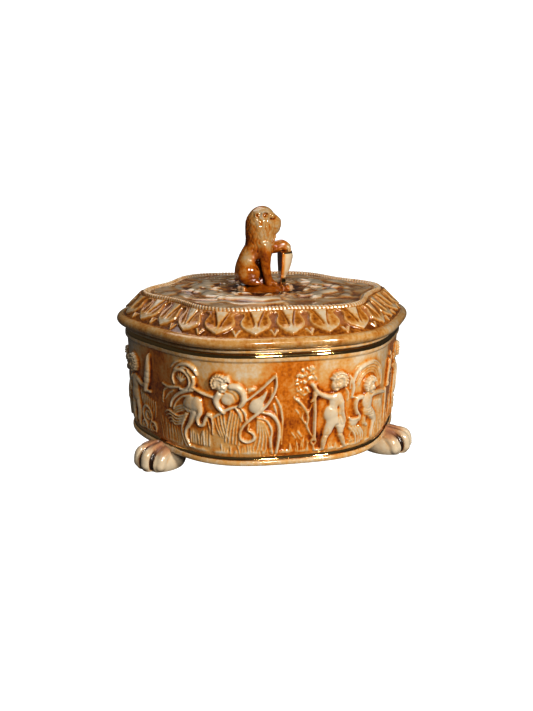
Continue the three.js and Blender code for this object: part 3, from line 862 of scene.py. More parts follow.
def frieze(t, angle):
    """Height, wash and mauve of the leaf frieze: t goes up its slope from 0 to 1, and a leaf's tip
    points down the front valley."""
    pitch = 2 * np.pi / LEAVES
    turn = (angle - 1.5 * np.pi) / pitch
    a = turn - np.round(turn)
    from_key = 0.5 - np.abs(a)
    width = pitch * FRIEZE_RADIUS
    edge = (from_key - np.interp(t, *KEYHOLE)) * width
    leaf = smoothstep(-0.15, 0.55, edge)
    rib = 0.035 + 0.16 * np.clip((t - 0.45) / 0.55, 0, None) ** 1.3
    off_rib = (np.abs(a) - rib) * width
    in_rib = smoothstep(0.25, -0.25, off_rib) * smoothstep(0.28, 0.4, t)
    groove = np.exp(-((off_rib - 0.4) / 0.48) ** 2) * smoothstep(0.3, 0.42, t) * smoothstep(1, 0.94, t)
    side = np.clip(off_rib / (off_rib + np.clip(edge, 0.05, None) + 0.01), 0, 1)
    dish = np.sin(np.pi * side) * (1 - in_rib) * smoothstep(0.2, 0.5, t) * leaf
    outer = 0.13 * np.clip((t - 0.02) / 0.25, 0, 1)
    notch = 0.055 * np.clip((t - 0.12) / 0.15, 0, 1)
    dart = smoothstep(0.02, -0.01, from_key - outer) * smoothstep(-0.01, 0.015, from_key - notch)
    dart *= smoothstep(0.3, 0.26, t) * smoothstep(0.0, 0.04, t)
    key = (1 - leaf) * (1 - dart)
    height = 1.25 * leaf + 0.15 * in_rib - 0.6 * groove * leaf - 0.34 * dish + 0.75 * dart * (1 - leaf)
    wash = 0.12 + 0.44 * dish + 0.5 * groove * leaf + 0.54 * key + 0.06 * dart
    # darker bands at the foot and the top of the slope; the one at the foot is painted shade in the crease
    # just above the bead
    ends = smoothstep(0.95, 0.98, t) + smoothstep(0.035, 0.01, t)
    wash = wash + (0.58 - wash) * np.clip(ends, 0, 1)
    return height * smoothstep(0, 0.05, t), wash, 0.35 * smoothstep(0.3, 0.45, t) * key


def resting_figure(r, rng, turn):
    """A figure that lies along the panel's edge at an angle, with its cloth and some leaves."""

    def spot(u, v):
        return (u * math.cos(turn) - v * math.sin(turn), u * math.sin(turn) + v * math.cos(turn))

    r.ridge([spot(34, -11), spot(31, -4), spot(35, 4), spot(31, 12)], [2, 4.4, 3.6, 1.4], 1.3)
    r.ridge([spot(30, -8), spot(26, -12), spot(23, -10)], [2.2, 1.8, 1.2], 1.1)
    r.ridge([spot(33, 2), spot(28, 6), spot(29, 12)], [2.4, 2, 1.1], 1.1)
    r.pad(spot(34, -15), (3, 2.8), 1.5)
    r.ridge([spot(39, -15), spot(44, -6), spot(44, 5), spot(38, 15)], [1, 2.6, 2.4, 0.9], 0.8)
    foliage(r, rng, spot(22, 15), (4, 4), 12, 1.5, height=0.7)


def lid_panel(radius, angle):
    """Heights of the lid's panel, which shows six resting figures on rippling ground, and the ripple."""
    x, y = radius * np.cos(angle), radius * np.sin(angle)
    r = Relief(x, y)
    rng = np.random.default_rng(7)
    for _ in range(30):
        a, reach = rng.uniform(0, 2 * np.pi), rng.uniform(20, 52)
        span, drift = rng.uniform(3, 8) / reach, rng.normal(0, 5)
        line = [((reach + s * drift) * math.cos(a + s * span), (reach + s * drift) * math.sin(a + s * span))
                for s in (-1, 0, 1)]
        r.ridge(line, [1.2, rng.uniform(2.2, 4.2), 1], rng.uniform(0.3, 0.7))
    for turn in (250, 325, 20, 95, 160, 205):
        resting_figure(r, rng, math.radians(turn))
    for _ in range(22):
        a, reach = rng.uniform(0, 2 * np.pi), rng.uniform(17, 26)
        radii = (rng.uniform(1.6, 4), rng.uniform(1.1, 2))
        spot = (reach * math.cos(a), 0.8 * reach * math.sin(a))
        r.pad(spot, radii, rng.uniform(0.6, 1.2), turn=rng.uniform(0, 180))
    swell = np.sin(x / 4.1 + 1.3 * np.sin(y / 5.3)) * np.sin(y / 4.7 + 1.1 * np.sin(x / 6.1))
    return r.height + 0.45 * swell, swell


def lid_profile():
    """The lid's rows in six parts: underside, bead, leaf frieze, rope, panel and the panel's hub."""
    flange = WALL_RADIUS - WALL_THICKNESS - 1
    bore = flange - 3.2
    ceiling, low = PANEL_Z - WALL_THICKNESS, LID_LOW[2]
    r, h = LID_RADIUS, SEAT_Z
    under = outline([
        *profile(BORDER_DEPTH, (0, ceiling), (50, ceiling)),
        [57.5, ceiling - 2.4, HUB_DEPTH],
        *profile(BOWL_DEPTH, (bore, h + 4), (bore, low + 0.8), (bore + 0.8, low), (flange - 0.8, low),
                 (flange, low + 0.8), (flange, h - 0.05), (flange + 0.5, h)),
        [r - 4, h, LID_DEPTH],
    ], 1.0)
    bead = outline(profile(LID_DEPTH, (r - 4, h), (r - 2.8, h + 0.1), (r - 0.9, h + 0.9), (r + 0.1, h + 2.1),
                           (r + 0.2, h + 3.3), (r - 0.6, h + 4.7), (r - 2.2, h + 5.4), (r - 2.8, h + 5.1),
                           (r - 3.3, h + 5.3)), 0.35)
    r, h = BORDER_RADIUS, PANEL_Z
    slope = outline([bead[-1], [r + 1.9, h - 1.2, BORDER_DEPTH]], FINE, rounds=0)
    twist = outline([
        slope[-1],
        *profile(BORDER_DEPTH, (r + 1.6, h - 0.6), (r + 1.3, h + 0.5), (r + 0.1, h + 1), (r - 1, h + 0.5),
                 (r - 1.4, h - 0.1), (r - 3, h - 0.2)),
    ], 0.3)
    top = outline([twist[-1], [12, h - 0.2, HUB_DEPTH]], PANEL_ROW, rounds=0)
    hub = outline([top[-1], [0, h - 0.2, HUB_DEPTH]], 3, rounds=0)
    return under[:-1], bead[:-1], slope[:-1], twist[:-1], top[:-1], hub


def part_way(count):
    """How far along its part each row is, from 0 to just under 1, as a column."""
    return np.linspace(0, 1, count + 1)[:-1, None]


def rope_border(along):
    """Height and wash of the rope border, fluted at a slant."""
    hump = np.sin(np.pi * along) ** 0.6
    flute = np.abs(np.sin(0.5 * (FLUTES * ANGLES[None] + 4.6 * along)))
    wash = 0.62 - 0.56 * smoothstep(0.25, 0.75, flute) * smoothstep(0.3, 0.6, hump)
    return 0.55 * (flute ** 0.6 - 1) * hump, wash


def painted_panel(rows):
    """Height, wash and mauve of the panel, dark close round the plinth and along its edge."""
    radius = lobed(rows[:, :1], rows[:, 2:], ANGLES[None])
    carved, swell = lid_panel(radius, np.broadcast_to(ANGLES[None], radius.shape))
    carved = blurred(carved, 0.6, (PANEL_ROW, PANEL_COLUMN))
    rim = lobed(BORDER_RADIUS - 2.4, BORDER_DEPTH, ANGLES) - radius
    carved *= smoothstep(10, 15, radius) * smoothstep(0, 2.4, rim)
    hollow = np.clip(blurred(carved, 1.6, (PANEL_ROW, PANEL_EDGE_COLUMN)) - carved, -0.4, 0.5)
    pool = smoothstep(27, 15, radius)
    high = smoothstep(0.3, 1.1, carved)
    wash = 0.17 + 1.7 * hollow - 0.12 * high + 0.56 * pool
    wash += 0.3 * smoothstep(0.1, -0.7, swell) + 0.24 * smoothstep(2.5, 0.6, rim)
    return carved, wash, (0.24 - 0.14 * high) * (1 - pool)


def build_lid():
    parts = lid_profile()
    rows = np.concatenate(parts)
    ends = np.cumsum([len(part) for part in parts])
    bead, leaves, twist, top = (slice(*ends[k]) for k in ([0, 1], [1, 2], [2, 3], [3, 5]))
    height, wash, mauve = (np.full((len(rows), COLUMNS), value) for value in (0.0, 0.02, 0.0))
    # painted shade: the bead darker towards the front-left and paler round to the right, as the lamps fall
    # from the right
    wash[bead] = 0.24 + 0.1 * np.cos(ANGLES - 1.3 * np.pi)
    height[leaves], wash[leaves], mauve[leaves] = frieze(part_way(len(parts[2])), ANGLES[None])
    height[twist], wash[twist] = rope_border(part_way(len(parts[3])))
    height[top], wash[top], mauve[top] = painted_panel(rows[top])
    # painted shade: the lid's glaze colours darkened to 0.84 of their own
    material = glaze_material("lid_glaze", painted_shade_stops(LID_STOPS, 0.84), patch=0.6, speckle=0.6, streak=0.3)
    paint = {"wash": wash, "mauve": mauve, "gilt": np.zeros_like(wash)}
    lid = lobed_object("lid_glazed", rows, height, paint, material)
    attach(lid, "lid")
    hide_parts("lid_shell")


# ---- Modelling in clay ----

CUBE_CORNERS = np.array([[i, j, k] for i in (0, 1) for j in (0, 1) for k in (0, 1)])
CUBE_EDGES = [(a, b) for a in range(8) for b in range(a + 1, 8)
              if np.abs(CUBE_CORNERS[a] - CUBE_CORNERS[b]).sum() == 1]


class Clay:
    """Clay on a grid: `field` is the distance to the surface in mm, negative inside."""

    def __init__(self, low, high, step=0.27):
        self.low, self.step = np.array(low, float), step
        axes = [np.arange(a, b + step, step) for a, b in zip(low, high)]
        grids = np.meshgrid(*axes, indexing="ij", sparse=True)
        self.x, self.y, self.z = (grid.astype(np.float32) for grid in grids)
        self.field = np.full([len(a) for a in axes], OPEN_AIR, np.float32)

    def window(self, low, high, reach):
        """The block of the grid near a box."""
        start = np.floor((np.array(low) - reach - self.low) / self.step).astype(int)
        end = np.ceil((np.array(high) + reach - self.low) / self.step).astype(int) + 1
        return tuple(slice(max(0, a), max(0, b)) for a, b in zip(start, end))

    def block(self, where):
        """Coordinates of a block of the grid."""
        return self.x[where[0]], self.y[:, where[1]], self.z[:, :, where[2]]

    def blend(self, where, distance, soft):
        """Lays clay on, with a fillet about `soft` wide where it meets what is there."""
        old = self.field[where]
        mix = np.clip(soft - np.abs(old - distance), 0, None) / soft
        self.field[where] = np.minimum(old, distance) - mix * mix * soft / 4

    def lump(self, centre, radii, lean=0, soft=1.2):
        """An ellipsoid, leaning by `lean` degrees from upright towards +X."""
        reach = max(radii)
        where = self.window(np.array(centre) - reach, np.array(centre) + reach, 2 + soft)
        dx, dy, dz = (grid - middle for grid, middle in zip(self.block(where), centre))
        c, s = math.cos(math.radians(lean)), math.sin(math.radians(lean))
        px, pz = dx * c - dz * s, dx * s + dz * c
        near = np.sqrt((px / radii[0]) ** 2 + (dy / radii[1]) ** 2 + (pz / radii[2]) ** 2)
        far = np.sqrt((px / radii[0] ** 2) ** 2 + (dy / radii[1] ** 2) ** 2 + (pz / radii[2] ** 2) ** 2)
        self.blend(where, near * (near - 1) / np.maximum(far, 1e-4), soft)

    def along(self, points, widths, reach):
        """The block of the grid near a smooth line, and the distance there to a tapering roll along it."""
        line = curve_through(points, 5) if len(points) > 2 else np.array(points, float)
        size = np.interp(np.linspace(0, 1, len(line)), np.linspace(0, 1, len(widths)), widths)
        where = self.window(line.min(0), line.max(0), reach)
        x, y, z = self.block(where)
        best = np.float32(FAR)
        for a, b, ra, rb in zip(line, line[1:], size, size[1:]):
            d = b - a
            t = np.clip(((x - a[0]) * d[0] + (y - a[1]) * d[1] + (z - a[2]) * d[2]) / (d @ d + 1e-9), 0, 1)
            gaps = (x - a[0] - t * d[0], y - a[1] - t * d[1], z - a[2] - t * d[2])
            away = np.sqrt(sum(gap ** 2 for gap in gaps))
            best = np.minimum(best, away - ra - (rb - ra) * t)
        return where, best

    def limb(self, points, widths, soft=0.8):
        """A tapering roll along a smooth line."""
        where, distance = self.along(points, widths, max(widths) + 1 + soft)
        self.blend(where, distance, soft)

    def score(self, points, width, depth):
        """A scored line in the surface."""
        where, distance = self.along(points, [0, 0], 2 * width)
        self.field[where] += depth * np.exp(-((distance / width) ** 2))

    def cut(self, distance):
        """Takes away where `distance` is positive."""
        self.field = np.maximum(self.field, distance)

    def sample(self, field, points):
        """A field's value at points, mm."""
        place = np.clip((points - self.low) / self.step, 0, np.array(field.shape) - 1.001)
        cell, part = place.astype(int), place % 1
        value = 0
        for i, j, k in CUBE_CORNERS:
            weight = (np.where(i, part[:, 0], 1 - part[:, 0]) * np.where(j, part[:, 1], 1 - part[:, 1])
                      * np.where(k, part[:, 2], 1 - part[:, 2]))
            value = value + weight * field[cell[:, 0] + i, cell[:, 1] + j, cell[:, 2] + k]
        return value

    def skin(self, middle, way):
        """Where a line from a point inside the clay first comes out of it."""
        line = np.array(middle, float) + np.arange(0, 16, 0.2)[:, None] * np.array(way, float)
        return line[np.argmax(self.sample(self.field, line) > 0)]

    def surface(self):
        """Points and quads of the clay's surface (surface nets)."""
        field = np.pad(self.field, 1, constant_values=3)
        inside = field < 0
        cells = [slice(0, -1), slice(1, None)]
        count = sum(inside[cells[i], cells[j], cells[k]].astype(np.int8) for i, j, k in CUBE_CORNERS)
        cell = np.argwhere((count > 0) & (count < 8))
        value = np.stack([field[tuple((cell + corner).T)] for corner in CUBE_CORNERS], 1)
        total, hits = np.zeros((len(cell), 3)), np.zeros(len(cell))
        for a, b in CUBE_EDGES:
            crossing = (value[:, a] < 0) != (value[:, b] < 0)
            t = np.where(crossing, value[:, a] / np.where(crossing, value[:, a] - value[:, b], 1), 0)
            spot = CUBE_CORNERS[a] + t[:, None] * (CUBE_CORNERS[b] - CUBE_CORNERS[a])
            total += spot * crossing[:, None]
            hits += crossing
        points = self.low + self.step * (cell - 1 + total / hits[:, None])
        number = np.full(np.array(field.shape) - 1, -1)
        number[tuple(cell.T)] = np.arange(len(cell))
        faces = []
        for axis in range(3):
            u, v = (axis + 1) % 3, (axis + 2) % 3
            here = inside[tuple(slice(0, -1) if k == axis else slice(1, -1) for k in range(3))]
            there = inside[tuple(slice(1, None) if k == axis else slice(1, -1) for k in range(3))]
            edge = np.argwhere(here != there)
            leaving = here[tuple(edge.T)]
            edge = edge + np.array([0 if k == axis else 1 for k in range(3)])
            ring = []
            for du, dv in ((-1, -1), (0, -1), (0, 0), (-1, 0)):
                shift = np.zeros(3, int)
                shift[u], shift[v] = du, dv
                ring.append(number[tuple((edge + shift).T)])
            quad = np.stack(ring, 1)
            faces.append(np.where(leaving[:, None], quad, quad[:, ::-1]))
        return points, np.concatenate(faces)

    def softened(self, reach):
        """The field blurred over about `reach` mm, for telling hollows from high spots."""
        field = np.clip(self.field, -3, 3)
        size = int(reach / self.step)
        for axis in range(3):
            for _ in range(2):
                pad = [(0, 0)] * 3
                pad[axis] = (size + 1, size)
                total = np.cumsum(np.pad(field, pad, mode="edge"), axis=axis, dtype=np.float64)
                length = field.shape[axis]
                high = np.take(total, range(2 * size + 1, 2 * size + 1 + length), axis)
                field = (high - np.take(total, range(length), axis)) / (2 * size + 1)
        return field

    def fired(self, name, paint, material, body, node, slot):
        """The clay as an object that stands for a CAD node. `paint` gives the wash, the mauve and the gilt
        from the points and from how hollow the surface is there."""
        points, faces = self.surface()
        hollow = -self.sample(self.softened(0.9), points)
        paints = dict(zip(("wash", "mauve", "gilt"), paint(points, hollow)))
        thing = mesh_object(name, points, [faces], paints, material)
        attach(thing, body)
        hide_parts(node)
        return thing


# ---- Paw feet ----


def build_paws():
    reach, half, top = FOOT_HIGH[1], FOOT_HIGH[0], FOOT_HIGH[2]
    middle = reach - PAW_HALF_LENGTH
    clay = Clay([-half - 1, middle - 15, -1], [half + 1, reach + 1, top + 1], 0.24)
    clay.lump([0, middle, 3.4], [half - 0.3, 12.6, 7.6], soft=2)
    clay.lump([0, middle - 0.5, 5.4], [half - 2.4, 11, top - 5.4], soft=2)
    grooves = [[[0, middle + 2, 12.4], [0, reach - 4, 9.4], [0, reach - 1.4, 5], [0, reach - 1.6, 0]]]
    for x in (-1, 1):
        inner = [[1.9 * x, middle + 1, 9.6], [2.8 * x, reach - 4.6, 8], [3 * x, reach - 3.1, 3.6]]
        outer = [[5.2 * x, middle - 1.5, 8.6], [7.5 * x, reach - 9.6, 7], [8.3 * x, reach - 7.4, 3.2]]
        clay.limb(inner, [2.4, 2.9, 2.7], soft=0.5)
        clay.limb(outer, [2.6, 2.8, 2.6], soft=0.5)
        grooves.append([[4 * x, middle + 1, 12], [5.2 * x, reach - 6.6, 9], [5.7 * x, reach - 4.2, 5],
                        [5.8 * x, reach - 4.2, 0]])
    for groove in 2 * grooves:
        clay.score(groove, *TOE_GROOVE)
    clay.cut(-clay.z)
    wall = lobed(WALL_RADIUS, BOWL_DEPTH, np.arctan2(clay.y, clay.x))
    clay.cut(np.minimum(clay.z - BASE_Z + 0.05, wall - PAW_TUCK - np.hypot(clay.x, clay.y)))
    material = glaze_material("paw_glaze", PAW_STOPS, patch=0.6, speckle=0.3)

    def paint(points, hollow):
        ahead, z = points[:, 1] - middle, points[:, 2]
        claws = smoothstep(2.4, 0.8, z) * smoothstep(9.5, 12, ahead)
        instep = smoothstep(6.8, 10.5, z) * smoothstep(11, 3, ahead)
        deep = np.clip(hollow - 0.02, 0, 0.4)
        return 0.04 + 3.4 * deep + 0.3 * claws + 0.36 * instep, 0.75 * instep, 0 * z

    for name, turn in (("foot_back", 0), ("foot_front_left", 120), ("foot_front_right", 240)):
        paw = clay.fired("paw_" + name[5:], paint, material, "base", name, "paw_glaze")
        paw.data.transform(Matrix.Rotation(math.radians(turn), 4, "Z"))


# ---- Plinth, lion and shield ----


def build_plinth():
    """A low mound that runs out onto the panel, with small lumps at both ends."""
    z = PLINTH_LOW[2]
    half_length, half_width = PLINTH_HIGH[0] + 0.8, PLINTH_HIGH[1] + 1
    corner = np.array([half_length + 2, half_width + 2, PLINTH_HIGH[2] + 2])
    clay = Clay([-corner[0], -corner[1], z - 2], corner, 0.25)
    turn = np.arctan2(clay.y / half_width, clay.x / half_length)
    ripple = 1 + 0.05 * np.cos(5 * turn + 1) + 0.04 * np.cos(11 * turn)
    share = np.hypot(clay.x / half_length, clay.y / half_width) * ripple
    rise = LION_LOW[2] - 0.28 - z + 0.6
    clay.field = 0.8 * (clay.z - z + 0.6 - rise * (1 - smoothstep(0.25, 1.1, share)))
    pebbles = ((-13, -3.4, 1.8), (-11.6, -6, 1.4), (12.8, -3.6, 1.7), (11, -6.4, 1.3), (8.4, -8, 1.2))
    for x, y, size in pebbles:
        clay.lump([x, y, z + 0.7], [size, size, 1.3], soft=0.8)
    clay.cut(z - 0.6 - clay.z)
    # painted shade: the plinth's glaze colours darkened to 0.8 of their own
    material = glaze_material("plinth_glaze", painted_shade_stops(WASH_STOPS, 0.8), patch=0.5, speckle=0.3, gloss=0.05)

    def paint(points, hollow):
        x, y = points[:, 0], points[:, 1]
        ends = smoothstep(10.8, 12.4, np.abs(x)) * smoothstep(1, -2, y)
        wash = 0.7 - 0.5 * ends + 1.0 * np.clip(hollow, 0, 0.4)
        touch = smoothstep(1.4, 0.9, np.hypot(x - 8.4, y + 7.4))
        return wash, 0.35 * ends, 0.8 * touch

    clay.fired("plinth_rock", paint, material, "lid", "finial_plinth", "plinth_glaze")


def lion_clay():
    """The whole lion in clay, looking along +X. Heights are counted from the plinth's top."""
    clay = Clay([-17, -10, -2], [17, 10, LION_HIGH[2] - LION_LOW[2] + 1], 0.22)
    # hindquarters
    clay.lump([-8.6, 0, 6], [5.8, 6.2, 6.6], soft=2)
    for y in (-1, 1):
        clay.lump([-8.6, 4.5 * y, 5.2], [5.6, 3.3, 5.6], lean=-15, soft=0.9)
        clay.limb([[-8, 5.6 * y, 1.2], [-5.8, 6.2 * y, 1.1], [-4.6, 6.2 * y, 1.1]], [1.7, 1.7, 1.5])
        for toe in (-1, 0, 1):
            clay.lump([-3.9, (6.1 + 1.1 * toe) * y, 0.9], [1.1, 0.7, 0.9], soft=0.3)
        haunch = [[-12.4, 4.6 * y, 13], [-10.4, 6.2 * y, 10.8], [-6.6, 6.6 * y, 9.4], [-4.2, 5.6 * y, 7.6]]
        clay.score(haunch, 0.7, 0.55)
    tail = [[-13.4, 2, 2.4], [-14, 4.4, 1.2], [-11.5, 8, 1], [-7, 8.8, 1]]
    clay.limb(tail, [1.1, 0.9, 0.8, 1.1], soft=0.5)
    # back, belly and chest
    clay.limb([[-9, 0, 6], [-8.8, 0, 11.4], [-5.2, 0, 18]], [5.8, 4.8, 4.8], soft=2.5)
    clay.lump([-1.4, 0, 17], [5.8, 5.4, 7.4], soft=2)
    clay.lump([-3.4, 1.4, 5.6], [3.4, 4.2, 9], soft=1.2)
    clay.lump([-2, -1, 1], [3, 3.4, 3.4], soft=1)
    # mane, crown and face
    clay.lump([-1.9, 0, 24], [7.7, 6.6, 8], soft=2)
    clay.lump([-2.2, 0, 29.5], [7.4, 6.8, 7.6], soft=2)
    clay.lump([-1.0, 0, 33.2], [6.2, 6, 5.5], soft=1.5)
    clay.lump([3.4, 0, 29.4], [5.3, 4.2, 5.6], soft=1)
    clay.lump([7.2, 0, 31.2], [1.2, 1.7, 1.2], soft=1)
    for y in (-1, 1):
        clay.lump([2.9, 4.3 * y, 33.6], [1.6, 1.2, 1.3], soft=0.1)
        clay.score([[2.2, 5 * y, 32.6], [3.9, 4 * y, 32.5], [5.2, 3 * y, 33]], 0.5, 0.5)
        clay.limb([[1.4, 5 * y, 35.5], [3.6, 4 * y, 35.2], [5.2, 2.4 * y, 33.9]], [0.4, 0.6, 0.4], soft=0.3)
        clay.score([[8.8, 0.4 * y, 28], [7.2, 2.6 * y, 26.7], [5, 4.2 * y, 27.8]], 0.45, 0.6)
        add_ear(clay, (-0.4, 5.9 * y, 34.4), 1.7)
        add_ear(clay, (-4.4, 5.2 * y, 34.4), 1.0)
    return clay


def add_ear(clay, centre, radius):
    """A raised ring with a hollow and a small bump in it, on the side of the head."""
    x, y, z = centre
    turns = np.linspace(0, 2 * np.pi, 9)
    ring = [[x + radius * math.cos(a), y, z + radius * math.sin(a)] for a in turns]
    clay.limb(ring, [0.32 * radius, 0.32 * radius], soft=0.5)
    clay.score([[x - 0.2, y, z], [x + 0.2, 1.1 * y, z]], 0.5 * radius, 0.5)
    clay.lump([x + 0.35 * radius, y, z - 0.2 * radius], [0.4 * radius, 0.7, 0.4 * radius], soft=0.3)


def add_mane(clay):
    """Long shallow locks on the mane, strands on the cheeks and a curly fringe down the chest."""
    rng = np.random.default_rng(11)

    def skin(turn, z, sunk=0.0):
        way = np.array([math.cos(math.radians(turn)), math.sin(math.radians(turn)), 0])
        return clay.skin([-1.8, 0, z], way) - sunk * way

    scored = []
    for high, low, count, face in ((35, 29.5, 16, 75), (30, 23, 18, 62), (24, 17, 18, 30)):
        for turn in np.linspace(face, 360 - face, count):
            sway = rng.uniform(4, 9) * rng.choice((-1, 1))
            heights = np.linspace(high, low, 4) + rng.uniform(-1, 1)
            scored.append([skin(turn + sway * math.sin(2 * k), z) for k, z in enumerate(heights)])
    for y in (-1, 1):
        for turn, reach in ((48, 0.62), (38, 0.5)):
            line = [skin(y * (turn - 3 * math.sin(2.2 * k)), 32.5 - 2.4 * k, 0.35) for k in range(4)]
            clay.limb(line, [0.35, reach, reach, 0.3], soft=0.3)
        for k in range(7):
            spot = skin(y * (22 + 7 * (k % 2)), 23.6 - 1.25 * k, 0.3)
            clay.lump(spot, [0.8, 0.8, 0.9], soft=0.4)
    for line in scored:
        clay.score(line, 0.42, 0.3)


def add_forelegs(clay):
    """The right foreleg stands; the left one reaches out over the shield."""
    standing = [[-0.6, -3.4, 19], [-0.1, -3.8, 14.6], [0, -4.5, 9], [0.8, -5, 4], [1.8, -5.2, 1.2]]
    reaching = [[2.2, 2.2, 17.8], [6.2, 2, 17.8], [9.4, 1.4, 18.8], [12, 0.9, 17.8]]
    clay.limb(standing, [3.7, 3.1, 2.4, 2.1, 2.0], soft=0.9)
    clay.limb([[1.4, -5.2, 0.6], [3.2, -5.2, 0.4]], [1.9, 1.7])
    clay.limb(reaching, [3.4, 3.1, 2.8, 2.1], soft=0.9)
    for toe in (-1.5, -0.5, 0.5, 1.5):
        clay.lump([4.3, -5.2 + 1.15 * toe, 0.2], [1.4, 0.72, 1.1], soft=0.3)
        clay.lump([12.8, 0.9 + 1.15 * toe, 17], [1.1, 0.72, 1.6], lean=-20, soft=0.3)


def build_lion():
    clay = lion_clay()
    add_mane(clay)
    add_forelegs(clay)
    clay.cut(-1.6 - clay.z)
    seat = LION_LOW[2]
    # painted shade: the lion's glaze colours darkened to 0.72 of their own
    material = glaze_material("lion_glaze", painted_shade_stops(WASH_STOPS, 0.72), patch=1.2, speckle=0.6, gloss=0.04)

    def paint(points, hollow):
        x, y, z = points[:, 0], points[:, 1], points[:, 2] - seat

        def spot(x_mid, z_mid, x_reach, z_reach):
            return smoothstep(1.4, 0.3, np.hypot((x - x_mid) / x_reach, (z - z_mid) / z_reach))

        pale = [spot(0.5, 27, 6, 11), spot(-9.4, 13.4, 3.4, 3.6), spot(-11.6, 5.6, 2.2, 2.8),
                spot(7, 29, 3.2, 5), spot(12.8, 17.4, 1.8, 2.4), spot(-2, 33, 6, 5)]
        ruddy = [spot(-0.4, 34.4, 1.6, 1.6), spot(-4.4, 34.4, 1.0, 1.0), spot(-2.8, 31, 1.3, 1.6)]
        # painted shade: darker in the gap between the haunch and the standing foreleg
        painted_gap_shade = spot(-3, 5, 3, 9) * smoothstep(5.4, 3.2, np.abs(y))
        # painted shade: darker at the back of the neck, on the side away from the lamps
        painted_nape_shade = smoothstep(-7.4, -9.2, x) * smoothstep(17, 20, z)
        low = smoothstep(20, 14, z)
        wash = 0.58 + 0.1 * low - 0.4 * np.max(pale, 0) + 0.34 * np.max(ruddy, 0) + 0.34 * painted_gap_shade + 0.1 * painted_nape_shade
        return wash + 1.5 * np.clip(hollow - 0.03, 0, 0.4), 0 * z, 0 * z

    # The raised foreleg is a piece of its own, ahead of the chest. Its root is sunk a little into the chest.
    leg_zone = np.maximum(FORELEG_LOW - clay.z, clay.z - FORELEG_HIGH)
    whole = clay.field.copy()
    clay.low = clay.low + [0, 0, seat]
    clay.field = np.maximum(whole, -np.maximum(leg_zone, FORELEG_BACK - clay.x))
    clay.fired("lion_sculpted", paint, material, "lid", "lion_body", "lion_glaze")
    joint = whole + 0.06 * (clay.x < FORELEG_BACK)
    clay.field = np.maximum(joint, np.maximum(leg_zone, FORELEG_BACK - 1.2 - clay.x))
    clay.fired("lion_foreleg", paint, material, "lid", "lion_raised_foreleg", "lion_glaze")


# Height as a share of the whole, and half width there, mm.
SHIELD_PROFILE = ([0, 0.13, 0.22, 0.36, 0.62, 0.84, 1], [3.0, 2.8, 3.1, 4.3, 5.4, 6.0, 5.6])


def build_shield():
    back = SHIELD_LOW[0]
    top = SHIELD_HIGH[2] - LION_LOW[2] + 0.6
    clay = Clay([back - 1.5, -8, -1.6], [SHIELD_HIGH[0] + 1.5, 8, top + 1.5], 0.2)
    half = np.interp(clay.z / top, *SHIELD_PROFILE)
    away = np.hypot((clay.x - back) / 1.14, clay.y) - half
    clay.field = np.broadcast_to(away, clay.field.shape).copy()
    clay.cut(back - clay.x)
    clay.cut(clay.z - top + 0.05 * np.abs(clay.y))
    clay.cut(-1.2 - clay.z)
    clay.low = clay.low + [0, 0, LION_LOW[2]]
    material = glaze_material("shield_glaze", WASH_STOPS, patch=0.6, speckle=0.3, gloss=0.06)

    def paint(points, _):
        x, z = points[:, 0], points[:, 2] - LION_LOW[2]
        # painted shade: the shield darker towards its flat back, which faces away from the lamps, and
        # darkest on the back itself
        inner = smoothstep(back + 0.5, back + 0.2, x)
        edge = smoothstep(back + 2.4, back + 0.9, x)
        gilt = smoothstep(top - 1.1, top - 0.8, z) + smoothstep(2.9, 2.2, z)
        return 0.05 + 0.5 * edge + 0.24 * inner, 0 * x, np.clip(gilt, 0, 1) * (1 - inner)

    clay.fired("shield_glazed", paint, material, "lid", "lion_shield", "shield_glaze")


# ---- Stage ----


def put(thing, azimuth, elevation, distance, aim_z):
    """Puts a camera or a lamp round the box, looking at a height on its axis. Azimuth 0 is in front."""
    a, e = math.radians(azimuth), math.radians(elevation)
    back = Vector((math.sin(a) * math.cos(e), -math.cos(a) * math.cos(e), math.sin(e)))
    thing.location = Vector((0, 0, aim_z * MM)) + back * distance * MM
    thing.rotation_euler = (-back).to_track_quat("-Z", "Y").to_euler()
    bpy.context.scene.collection.objects.link(thing)


def make_camera():
    data = bpy.data.cameras.new("camera")
    data.lens = CAMERA_LENS
    data.shift_x, data.shift_y = CAMERA_SHIFT
    data.clip_start = CAMERA_NEAR * MM
    camera = bpy.data.objects.new("camera", data)
    put(camera, CAMERA_AZIMUTH, CAMERA_ELEVATION, CAMERA_DISTANCE, CAMERA_AIM_Z)
    bpy.context.scene.camera = camera


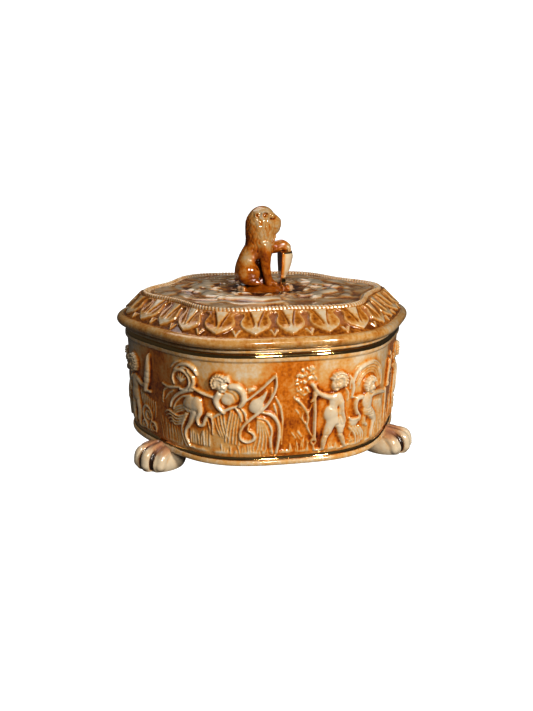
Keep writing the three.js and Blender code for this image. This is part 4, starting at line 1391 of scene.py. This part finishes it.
def area_light(name, azimuth, elevation, size, power, color):
    """A rectangular lamp that looks at the box."""
    data = bpy.data.lights.new(name, "AREA")
    data.shape = "RECTANGLE"
    data.size, data.size_y = size
    data.energy = power
    data.color = color
    put(bpy.data.objects.new(name, data), azimuth, elevation, LAMP_DISTANCE, LAMP_AIM_Z)


def seen_directly(tree):
    """1 where the camera looks straight at the backdrop, 0 for light that it throws on the box."""
    return add(tree, "ShaderNodeLightPath").outputs["Is Camera Ray"]


def pale_floor():
    """Pale paper that shows nearly white, without throwing much light up under the box."""
    material = bpy.data.materials.new("floor_paper")
    tree, shader = nodes_of(material)
    shader.inputs["Base Color"].default_value = FLOOR_COLOR
    shader.inputs["Roughness"].default_value = 0.9
    shader.inputs["Specular IOR Level"].default_value = 0.1
    shader.inputs["Emission Color"].default_value = (1, 1, 1, 1)
    glow = maths(tree, "MULTIPLY", seen_directly(tree), FLOOR_GLOW)
    tree.links.new(glow, shader.inputs["Emission Strength"])
    return material


def make_stage():
    bpy.ops.mesh.primitive_circle_add(vertices=96, radius=FLOOR_RADIUS, fill_type="NGON")
    floor = bpy.context.object
    floor.name = "floor"
    floor.data.materials.append(pale_floor())
    for lamp in LAMPS:
        area_light(*lamp)


def make_backdrop():
    """A bright backdrop that throws only a little light on the box."""
    world = bpy.data.worlds.new("world")
    bpy.context.scene.world = world
    world.use_nodes = True
    tree = world.node_tree
    backdrop = tree.nodes["Background"]
    backdrop.inputs["Color"].default_value = BACKDROP_COLOR
    strength = add(tree, "ShaderNodeMapRange", Value=seen_directly(tree), i3=ROOM_LIGHT, i4=BACKDROP_GLOW)
    tree.links.new(strength.outputs["Result"], backdrop.inputs["Strength"])


def set_view():
    """The contrast and brightness of the photo."""
    view = bpy.context.scene.view_settings
    view.view_transform = "Standard"
    view.gamma = CAMERA_GAMMA
    view.exposure = CAMERA_EXPOSURE


make_camera()
build_bowl()
build_lid()
build_paws()
build_plinth()
build_lion()
build_shield()
make_stage()
make_backdrop()
set_view()
